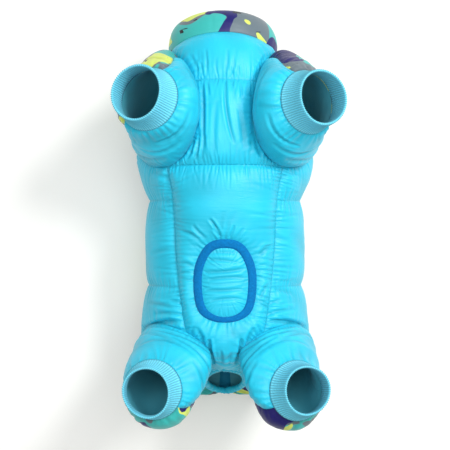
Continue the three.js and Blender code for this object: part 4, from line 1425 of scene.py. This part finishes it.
class JUMPSUIT_OT_finishes(JumpsuitPiece, bpy.types.Operator):
    """Makes the taffeta, print, knit, thread and zip finishes"""

    bl_idname = "jumpsuit.finishes"
    bl_label = "Make Finishes"

    def execute(self, context):
        colours = context.scene.jumpsuit_colours
        camo = camouflage([colours.ground, colours.teal, colours.yellow, colours.navy, colours.dark])
        FINISHES.update({
            "shell": taffeta("turquoise_taffeta", plain(colours.shell)),
            "print": taffeta("printed_taffeta", camo, 0.46),
            "lining": taffeta("lining_cloth", plain(colours.lining), 0.6),
            "knit": knitwear("cuff_knit", colours.knit),
            "binding": knitwear("binding_knit", colours.binding, 0.8, 0.002, 0.7, 1.0),
            "thread": sewn_thread("turquoise_thread", colours.shell),
            "zip_tape": taffeta("zip_tape_weave", plain(colours.zip_tape), 0.65),
            "zip_teeth": sewn_thread("zip_coil", colours.zip_tape),
        })
        return {"FINISHED"}


# How much longer each cloth is cut than it is sewn, in one direction, and the belly's share of spare cloth
ACROSS, ALONG = (1, 0, 0), (0, 1, 0)
CHEST_SPARE, FLANK_SPARE, SLEEVE_SPARE, OPENING_SPARE = 0.14, 0.05, 0.07, 0.12
BELLY_GROWTH = 0.8
# How far the edges of the hole and of the panel in it lie from the binding's middle and inner edge
HOLE_UNDER_BINDING, PANEL_UNDER_BINDING = 3.0, 0.6
# The seams round a flank and round a half of the back, in order
FLANK_OUTLINE = ("flank_hind", "flank_side", "flank_front", "belly_side")
BACK_OUTLINE = ("tail_side", "back_hind", "flank_side", "back_front", "neck_side", "neckline_back", "spine",
                "tail_back")


class JUMPSUIT_OT_body(JumpsuitPiece, bpy.types.Operator):
    """Makes the padded panels of chest, belly, flanks and back"""

    bl_idname = "jumpsuit.body"
    bl_label = "Make Body Panels"

    def execute(self, context):
        form = self.form(context)
        height, growth, step = form.padding / MM, form.spare_cloth, form.cloth_step / MM
        parts = []
        outline = mirrored_outline("cross", ("chest_sleeve", "neck_side"), "neckline_front")
        shirring = Run("shirring", shirring_line())
        chest = Panel("chest_panel", TORSO, outline, [shirring], step=step)
        parts.append(padded_part(chest, height, growth, stretched(ACROSS, CHEST_SPARE), form.filling,
                                 CHEST_FOLDS, [shirring], crosswise=True))

        outline = mirrored_outline("tail_front", ("tail_side", "belly_hind", "belly_side"), "cross")
        hole = Run("opening_edge", opening_place(FULL_TURN, HOLE_UNDER_BINDING))
        belly = Panel("belly_panel", TORSO, outline, hole=hole, step=step)
        parts.append(padded_part(belly, height, growth * BELLY_GROWTH, np.eye(3), form.filling, BELLY_FOLDS))

        for name, side in (("right", -1), ("left", 1)):
            outline = [torso_run(seam, side) for seam in FLANK_OUTLINE]
            quilts = [quilting("quilting", line, side, name, seam_angle(line, "belly_side"),
                               seam_angle(line, "flank_side")) for line in QUILT_LINES]
            flank = Panel("flank_" + name, TORSO, outline, quilts, step=step)
            parts.append(padded_part(flank, height, growth, stretched(ALONG, FLANK_SPARE), form.filling,
                                     FLANK_FOLDS, quilts))
        for name, side in (("right", -1), ("left", 1)):
            outline = [torso_run(seam, side) for seam in BACK_OUTLINE]
            quilts = [quilting("back_quilting", line, side, name, seam_angle(line, "flank_side"),
                               float(half_back_angle(line))) for line in QUILT_LINES]
            back = Panel("back_" + name, TORSO, outline, quilts, step=step)
            parts.append(padded_part(back, height, growth, np.eye(3), form.filling, (), quilts))

        make_panels(parts, form, BODY_LUMPS)
        return {"FINISHED"}


def sleeve_split(name, turn):
    """The seam between the two parts of a sleeve, at an angle round the leg."""
    return Run(f"{name}_split_{turn % 360}", straight((turn, 0), (turn, 1)), "sleeve_split")


class JUMPSUIT_OT_sleeves(JumpsuitPiece, bpy.types.Operator):
    """Makes the plain and the printed part of each sleeve"""

    bl_idname = "jumpsuit.sleeves"
    bl_label = "Make Sleeves"

    def execute(self, context):
        form = self.form(context)
        height, step = form.sleeve_padding / MM, form.cloth_step / MM
        parts = []
        for leg in LEGS:
            name, _, armhole = leg[:3]
            cloth = SleeveCloth(leg)
            start, end = SLEEVE_SPLITS[armhole]
            for part, low, high in (("inner", end, start + 360), ("outer", start, end)):
                outline = [
                    Run(f"{name}_{part}_root", straight((low, 0), (high, 0), 90), "sleeve_root"),
                    sleeve_split(name, high),
                    Run(f"{name}_{part}_cuff", straight((high, 1), (low, 1), 90), "sleeve_cuff"),
                    sleeve_split(name, low),
                ]
                panel = Panel(f"{name}_sleeve_{part}", cloth, outline, step=step)
                spare = stretched(cloth.leg.lean, SLEEVE_SPARE)
                parts.append(padded_part(panel, height, form.spare_cloth, spare, form.filling,
                                         SLEEVE_FOLDS[armhole], slumps=SLEEVE_SLUMPS[armhole]))
        make_panels(parts, form, SLEEVE_LUMPS)
        return {"FINISHED"}


def closed_spline(points, steps):
    """A smooth closed curve through points."""
    points = np.asarray(points, float)
    before, after, later = np.roll(points, 1, 0), np.roll(points, -1, 0), np.roll(points, -2, 0)
    square, cube = 2 * before - 5 * points + 4 * after - later, 3 * points - before - 3 * after + later
    parts = [0.5 * (2 * points + (after - before) * t + square * t ** 2 + cube * t ** 3)
             for t in np.arange(steps) / steps]
    return np.stack(parts, axis=1).reshape(-1, points.shape[1])


# The collar's sizes in millimetres, its gathers and the steps along it
COLLAR_HEIGHT, COLLAR_NAPE_RISE, COLLAR_THICKNESS, COLLAR_TAPER = 28.0, 7.0, 11.0, 5.0
COLLAR_GATHERS, COLLAR_STEPS = 46, 260
# out of the neck and up, as shares of the collar's thickness and height
COLLAR_SECTION = ((-0.28, 0.02), (0.0, 0.0), (0.2, 0.14), (0.42, 0.4), (0.46, 0.66), (0.32, 0.88), (0.04, 1.0),
                  (-0.26, 0.92), (-0.44, 0.65), (-0.44, 0.3))
NECK_TILT = float(size_at("tilt", 1.0))
NECK_AXIS = np.array([0.0, math.cos(NECK_TILT), -math.sin(NECK_TILT)])
NECK_MIDDLE = np.array([NECK_ASIDE, float(size_at("y", 1.0)), float(size_at("z", 1.0))])


def collar_height(angle):
    """The collar stands higher at the nape."""
    return COLLAR_HEIGHT + COLLAR_NAPE_RISE * (1 - np.cos(np.radians(angle))) / 2


class JUMPSUIT_OT_collar(JumpsuitPiece, bpy.types.Operator):
    """Makes the padded stand-up collar"""

    bl_idname = "jumpsuit.collar"
    bl_label = "Make Collar"

    def execute(self, context):
        slit = float(half_back_angle(1.0))
        section = closed_spline(COLLAR_SECTION, 5)
        rng = np.random.default_rng(11)
        folds = np.sort(rng.uniform(-slit, slit, COLLAR_GATHERS))
        depths, widths = rng.uniform(0.2, 0.9, COLLAR_GATHERS), rng.uniform(1.2, 2.6, COLLAR_GATHERS)
        loops = []
        for angle in np.linspace(-slit, slit, COLLAR_STEPS):
            root = torso_point(angle, 1.0)
            out = unit(root - NECK_MIDDLE)
            gather = (depths * np.exp(-(((angle - folds) / widths) ** 2))).sum()
            loop = []
            for across, up in section:
                fade = 0.35 + 0.65 * max(np.exp(-up / 0.22), np.exp(-(1 - up) / 0.16))
                waviness = 0.05 * math.sin(angle * 0.11 + 3 * up)
                swell = 1 + waviness - 0.10 * gather * fade
                loop.append(root + out * (across * COLLAR_THICKNESS * swell - up * COLLAR_TAPER)
                            + NECK_AXIS * (up * collar_height(angle) + 0.2))
            loops.append(np.array(loop))
        declared(swept("collar", loops, FINISHES["print"], closed=False), ["collar"])
        return {"FINISHED"}


# The cuffs' rings, the power of their taper, their waist, and how far in both faces of the knit lie
CUFF_RINGS, CUFF_TAPER, CUFF_WAIST = 16, 0.7, 1.0
KNIT_OUTSIDE, KNIT_INSIDE = 0.35, 2.35
STEPS_PER_RIB = 6


class JUMPSUIT_OT_cuffs(JumpsuitPiece, bpy.types.Operator):
    """Makes the ribbed knitted cuffs"""

    bl_idname = "jumpsuit.cuffs"
    bl_label = "Make Cuffs"

    def execute(self, context):
        form = self.form(context)
        recipe = ribbed_recipe()
        for leg in LEGS:
            name, side, armhole = leg[:3]
            place = LegFrame(leg)
            seam, rim, length = CUFFS[armhole]
            around = math.pi * (seam + rim)
            count = round(around / (form.rib_pitch / MM))
            along = np.linspace(0, 1, CUFF_RINGS)
            radius = seam + (rim - seam) * along ** CUFF_TAPER - np.sin(np.pi * along) * CUFF_WAIST
            outside = np.stack([radius - KNIT_OUTSIDE, along * length], axis=-1)
            lining = np.stack([radius - KNIT_INSIDE, along * length], axis=-1)[::-1]
            top = np.array([[rim - 0.8, length + 0.7], [rim - 1.9, length + 0.7]])
            profile = np.concatenate([outside, top, lining])
            fading = np.clip(along * 6, 0.2, 1)
            ribbed = np.concatenate([fading, [0.8, 0.8], fading[::-1]])
            steps = count * STEPS_PER_RIB
            turns = np.arange(steps) / steps * 2 * np.pi
            wander = 0.5 * np.sin(2 * turns + side) + 0.3 * np.sin(3 * turns + 1.0)
            loops = []
            for ring, aside in zip(place.ring(turns), wander):
                reach = profile[:, :1] + aside * (profile[:, 1:] / length)
                loops.append(place.middle + ring * reach + place.lean * profile[:, 1:])
            piece = swept(name + "_cuff", loops, FINISHES["knit"], mapped=False, attributes={
                "turn": np.repeat(turns / (2 * np.pi), len(profile)), "ribbed": np.tile(ribbed, steps)})
            made_by(recipe, piece, {"Rib Count": float(count), "Rib Depth": form.rib_depth,
                                    "Finish": FINISHES["knit"]})
            declared(piece, [name + "_cuff"])
        return {"FINISHED"}


# The panel in the opening: its padding, and its step as a share of the others'
OPENING_PADDING, OPENING_FINENESS = 3.0, 0.7
# The binding: steps round it, sides of its section, how flat that is, and its height above and below the cloth
BINDING_STEPS, BINDING_SIDES, BINDING_FLATNESS = 400, 24, 0.7
BINDING_ABOVE, BINDING_BELOW, BINDING_PILE = 2.3, 1.4, 0.12


class JUMPSUIT_OT_opening(JumpsuitPiece, bpy.types.Operator):
    """Makes the bound opening on the belly and the wrinkled panel inside it"""

    bl_idname = "jumpsuit.opening"
    bl_label = "Make Opening"

    def execute(self, context):
        form = self.form(context)
        edge = Run("opening_panel_edge", opening_place(FULL_TURN, -OPENING_BAND / 2 + PANEL_UNDER_BINDING))
        panel = Panel("opening_panel", TORSO, [edge], step=form.cloth_step / MM * OPENING_FINENESS)
        spare = stretched(ALONG, OPENING_SPARE)
        part = padded_part(panel, OPENING_PADDING, form.spare_cloth, spare, form.filling, OPENING_FOLDS)
        make_panels([part], form, OPENING_LUMPS)

        phases = phases_round(BINDING_SIDES)
        across = np.sign(np.cos(phases)) * np.abs(np.cos(phases)) ** BINDING_FLATNESS * OPENING_BAND / 2
        rise = np.where(np.sin(phases) > 0, BINDING_ABOVE, BINDING_BELOW)
        up = np.sin(phases) * rise - 0.1
        rng = np.random.default_rng(8)
        loops = []
        for k in range(BINDING_STEPS):
            turn = k / BINDING_STEPS * 2 * np.pi
            places = opening_place(np.full(len(across), turn), across + 0.25 * math.sin(7 * turn))
            pile = up + rng.uniform(-BINDING_PILE, BINDING_PILE, len(up))
            loops.append(TORSO.point(places) + TORSO.normal(places) * pile[:, None])
        declared(swept("opening_trim", loops, FINISHES["binding"], mapped=False), ["opening_trim"])
        return {"FINISHED"}


# The hem: its gathers and their width in degrees, sides of its section, steps round it, and its radius
HEM_GATHERS, HEM_GATHER_WIDTH, HEM_SIDES, HEM_STEPS, HEM_RADIUS = 38, 2.2, 20, 420, 3.5
HEM_TAILWARD, HEM_INWARD = 3.4, 1.2


class JUMPSUIT_OT_tail_hem(JumpsuitPiece, bpy.types.Operator):
    """Makes the gathered elastic hem round the tail opening"""

    bl_idname = "jumpsuit.tail_hem"
    bl_label = "Make Tail Hem"

    def execute(self, context):
        rng = np.random.default_rng(5)
        places = np.linspace(0, 360, HEM_GATHERS, endpoint=False) + rng.uniform(-2.5, 2.5, HEM_GATHERS)
        depths = rng.uniform(0.5, 1.5, HEM_GATHERS)
        phases = phases_round(HEM_SIDES)
        loops = []
        for angle in np.linspace(0, 360, HEM_STEPS, endpoint=False):
            root = torso_point(angle, 0.0)
            towards = unit(root - torso_point(angle, SHARE_STEP))
            out = TORSO.normal(np.array([angle, 0.0]))
            apart = np.abs((angle - places + 180) % 360 - 180)
            gather = (depths * np.exp(-((apart / HEM_GATHER_WIDTH) ** 2))).sum()
            radius = HEM_RADIUS - 0.75 * gather + 0.25 * math.sin(math.radians(angle) * 5)
            middle = root + towards * HEM_TAILWARD - out * HEM_INWARD
            round_it = np.cos(phases)[:, None] * towards + np.sin(phases)[:, None] * out
            loops.append(middle + round_it * radius)
        declared(swept("tail_hem", loops, FINISHES["shell"]), ["tail_hem"])
        return {"FINISHED"}


# The zip's section and its teeth's rows, aside and up from the cloth, in millimetres
ZIP_SECTION = np.array([(-6.0, -0.6), (-5.8, 0.0), (-3.2, 0.15), (-2.6, 0.45), (0.0, 0.5), (2.6, 0.45),
                        (3.2, 0.15), (5.8, 0.0), (6.0, -0.6), (5.6, -1.8), (-5.6, -1.8)])
ZIP_STEPS, ZIP_SMOOTHINGS = 240, 60
# Where the zip starts and ends on the back, and its points up the collar, as shares of both
ZIP_SHARES, ZIP_UP_COLLAR = (0.002, 0.95), np.array([0.4, 0.7, 1.0])
TEETH_ASIDE, TEETH_UP = 0.8, 0.75
# The teeth's pitch and size, in metres
TEETH_PITCH, TOOTH_SIZE = 0.0016, (0.0021, 0.0021, 0.0011)


def zip_path():
    """The middle of the zip, along the spine and up the collar's nape."""
    back = torso_point(180.0, np.linspace(*ZIP_SHARES, 90))
    root = torso_point(180.0, 1.0)
    nape = root + ZIP_UP_COLLAR[:, None] * float(collar_height(180.0)) * NECK_AXIS
    points = np.concatenate([back, nape])
    lengths = lengths_along(points)
    points = at_lengths(np.linspace(0, lengths[-1], ZIP_STEPS), lengths, points)
    for _ in range(ZIP_SMOOTHINGS):
        points[1:-1] = points[1:-1] * 0.5 + (points[:-2] + points[2:]) * 0.25
    return points


class JUMPSUIT_OT_back_zip(JumpsuitPiece, bpy.types.Operator):
    """Makes the closed zip along the back"""

    bl_idname = "jumpsuit.back_zip"
    bl_label = "Make Back Zip"

    def execute(self, context):
        path = zip_path()
        tangents = unit(np.gradient(path, axis=0))
        out = unit(np.cross(tangents, np.array([1.0, 0.0, 0.0])))
        across = np.outer(ZIP_SECTION[:, 0], (1.0, 0.0, 0.0))
        loops = [middle + across + np.outer(ZIP_SECTION[:, 1], way) for middle, way in zip(path, out)]
        declared(swept("back_zip", loops, FINISHES["zip_tape"], closed=False), ["back_zip"])
        rails = [path + out * TEETH_UP + np.array([side * TEETH_ASIDE, 0, 0]) for side in (1, -1)]
        teeth = made_by(stitched_recipe(), path_object("zip_coil", rails), {
            "Pitch": TEETH_PITCH, "Bead Size": TOOTH_SIZE, "Finish": FINISHES["zip_teeth"]})
        declared(teeth, [])
        return {"FINISHED"}


# How far the thread stands off the cloth, in millimetres, and the size of a stitch, in metres
THREAD_PROUD = 0.1
STITCH_SIZE = (0.0006, 0.0006, 0.0026)


class JUMPSUIT_OT_stitching(JumpsuitPiece, bpy.types.Operator):
    """Makes the stitches of the quilting and the gathered line"""

    bl_idname = "jumpsuit.stitching"
    bl_label = "Make Stitching"

    def execute(self, context):
        form = self.form(context)
        lift = form.padding / MM * (1 - QUILT_SHARE) + THREAD_PROUD
        lines = [shirring_line()]
        for line in QUILT_LINES:
            low, high = seam_angle(line, "belly_side"), float(half_back_angle(line))
            lines += [straight((side * low, line), (side * high, line), 160) for side in (1, -1)]
        lines = [evenly_spaced(TORSO, line, 2.0)[3:-3] for line in lines]
        paths = [TORSO.point(line) + TORSO.normal(line) * lift for line in lines]
        piece = made_by(stitched_recipe(), path_object("quilting_stitches", paths), {
            "Pitch": form.stitch_pitch, "Bead Size": STITCH_SIZE, "Finish": FINISHES["thread"]})
        declared(piece, [])
        return {"FINISHED"}


# Half the floor's side, in millimetres, and the name, place and size of each light, in metres
FLOOR_REACH = 9000.0
LIGHTS = (("key_light", (0.85, 0.7, 1.35), 0.55), ("top_light", (0.0, 0.1, 1.75), 1.6))


class JUMPSUIT_OT_stage(JumpsuitPiece, bpy.types.Operator):
    """Makes the floor, the soft lights and the camera"""

    bl_idname = "jumpsuit.stage"
    bl_label = "Make Stage"

    def execute(self, context):
        scene, stage = context.scene, context.scene.jumpsuit_stage
        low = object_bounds()[0][2] / MM
        corners = np.array([[x, y, low] for x, y in ((-1, -1), (1, -1), (1, 1), (-1, 1))])
        corners[:, :2] *= FLOOR_REACH
        finish = Finish("pale_floor", Specular_IOR_Level=0.1, Emission_Strength=stage.floor_glow,
                        Emission_Color=(1.0, 1.0, 0.98, 1.0))
        grain = finish.noise(finish.place(), 0.4, 2.0)
        finish.colour(finish.brightened(plain(stage.floor)(finish, None), 0.98 + grain * 0.04))
        finish.roughness(0.75 + grain * 0.1)
        floor = mesh_object("floor", corners, [(0, 1, 2, 3)], [finish.material])
        floor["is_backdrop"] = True

        world = bpy.data.worlds.new("soft_sky")
        world.use_nodes = True
        sky = world.node_tree.nodes["Background"].inputs
        sky["Color"].default_value = (1.0, 1.0, 1.0, 1.0)
        sky["Strength"].default_value = stage.sky
        scene.world = world

        for (name, place, size), power in zip(LIGHTS, (stage.key_power, stage.top_power)):
            lamp = bpy.data.lights.new(name, "AREA")
            lamp.shape = "DISK"
            lamp.size = size
            lamp.energy = power
            light = placed(name, lamp)
            light.location = place
            light.visible_camera = False
            light.rotation_euler = (-Vector(place)).to_track_quat("-Z", "Y").to_euler()

        lens = bpy.data.cameras.new("camera")
        lens.angle = 2 * math.atan(stage.view_width / 2 / stage.camera_height)
        camera = placed("camera", lens)
        camera.location = (0.0, 0.0, stage.camera_height)
        scene.camera = camera
        scene.view_settings.view_transform = "Standard"
        return {"FINISHED"}


PIECES = (
    JUMPSUIT_OT_finishes, JUMPSUIT_OT_body, JUMPSUIT_OT_sleeves, JUMPSUIT_OT_collar, JUMPSUIT_OT_cuffs,
    JUMPSUIT_OT_opening, JUMPSUIT_OT_tail_hem, JUMPSUIT_OT_back_zip, JUMPSUIT_OT_stitching, JUMPSUIT_OT_stage,
)


class JUMPSUIT_PT_sidebar(bpy.types.Panel):
    """Lists the jumpsuit's sizes, colours and pieces"""

    bl_idname = "JUMPSUIT_PT_sidebar"
    bl_label = "Padded Jumpsuit"
    bl_space_type = "VIEW_3D"
    bl_region_type = "UI"
    bl_category = "Jumpsuit"

    def draw(self, context):
        scene = context.scene
        for group in (scene.jumpsuit_form, scene.jumpsuit_colours, scene.jumpsuit_stage):
            box = self.layout.box()
            for name in group.__annotations__:
                box.prop(group, name)
        for piece in PIECES:
            self.layout.operator(piece.bl_idname)


CLASSES = (JumpsuitForm, JumpsuitColours, JumpsuitStage) + PIECES + (JUMPSUIT_PT_sidebar,)


def register():
    for kind in CLASSES:
        bpy.utils.register_class(kind)
    bpy.types.Scene.jumpsuit_form = bpy.props.PointerProperty(type=JumpsuitForm)
    bpy.types.Scene.jumpsuit_colours = bpy.props.PointerProperty(type=JumpsuitColours)
    bpy.types.Scene.jumpsuit_stage = bpy.props.PointerProperty(type=JumpsuitStage)


def unregister():
    del bpy.types.Scene.jumpsuit_stage
    del bpy.types.Scene.jumpsuit_colours
    del bpy.types.Scene.jumpsuit_form
    for kind in reversed(CLASSES):
        bpy.utils.unregister_class(kind)


def main():
    register()
    for piece in PIECES:
        group, name = piece.bl_idname.split(".")
        getattr(getattr(bpy.ops, group), name)()
    as_lists = lambda box: [[float(v) for v in corner] for corner in box]
    {"cad": as_lists(CAD_BOX), "visual": as_lists(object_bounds())}


if __name__ == "__main__":
    main()
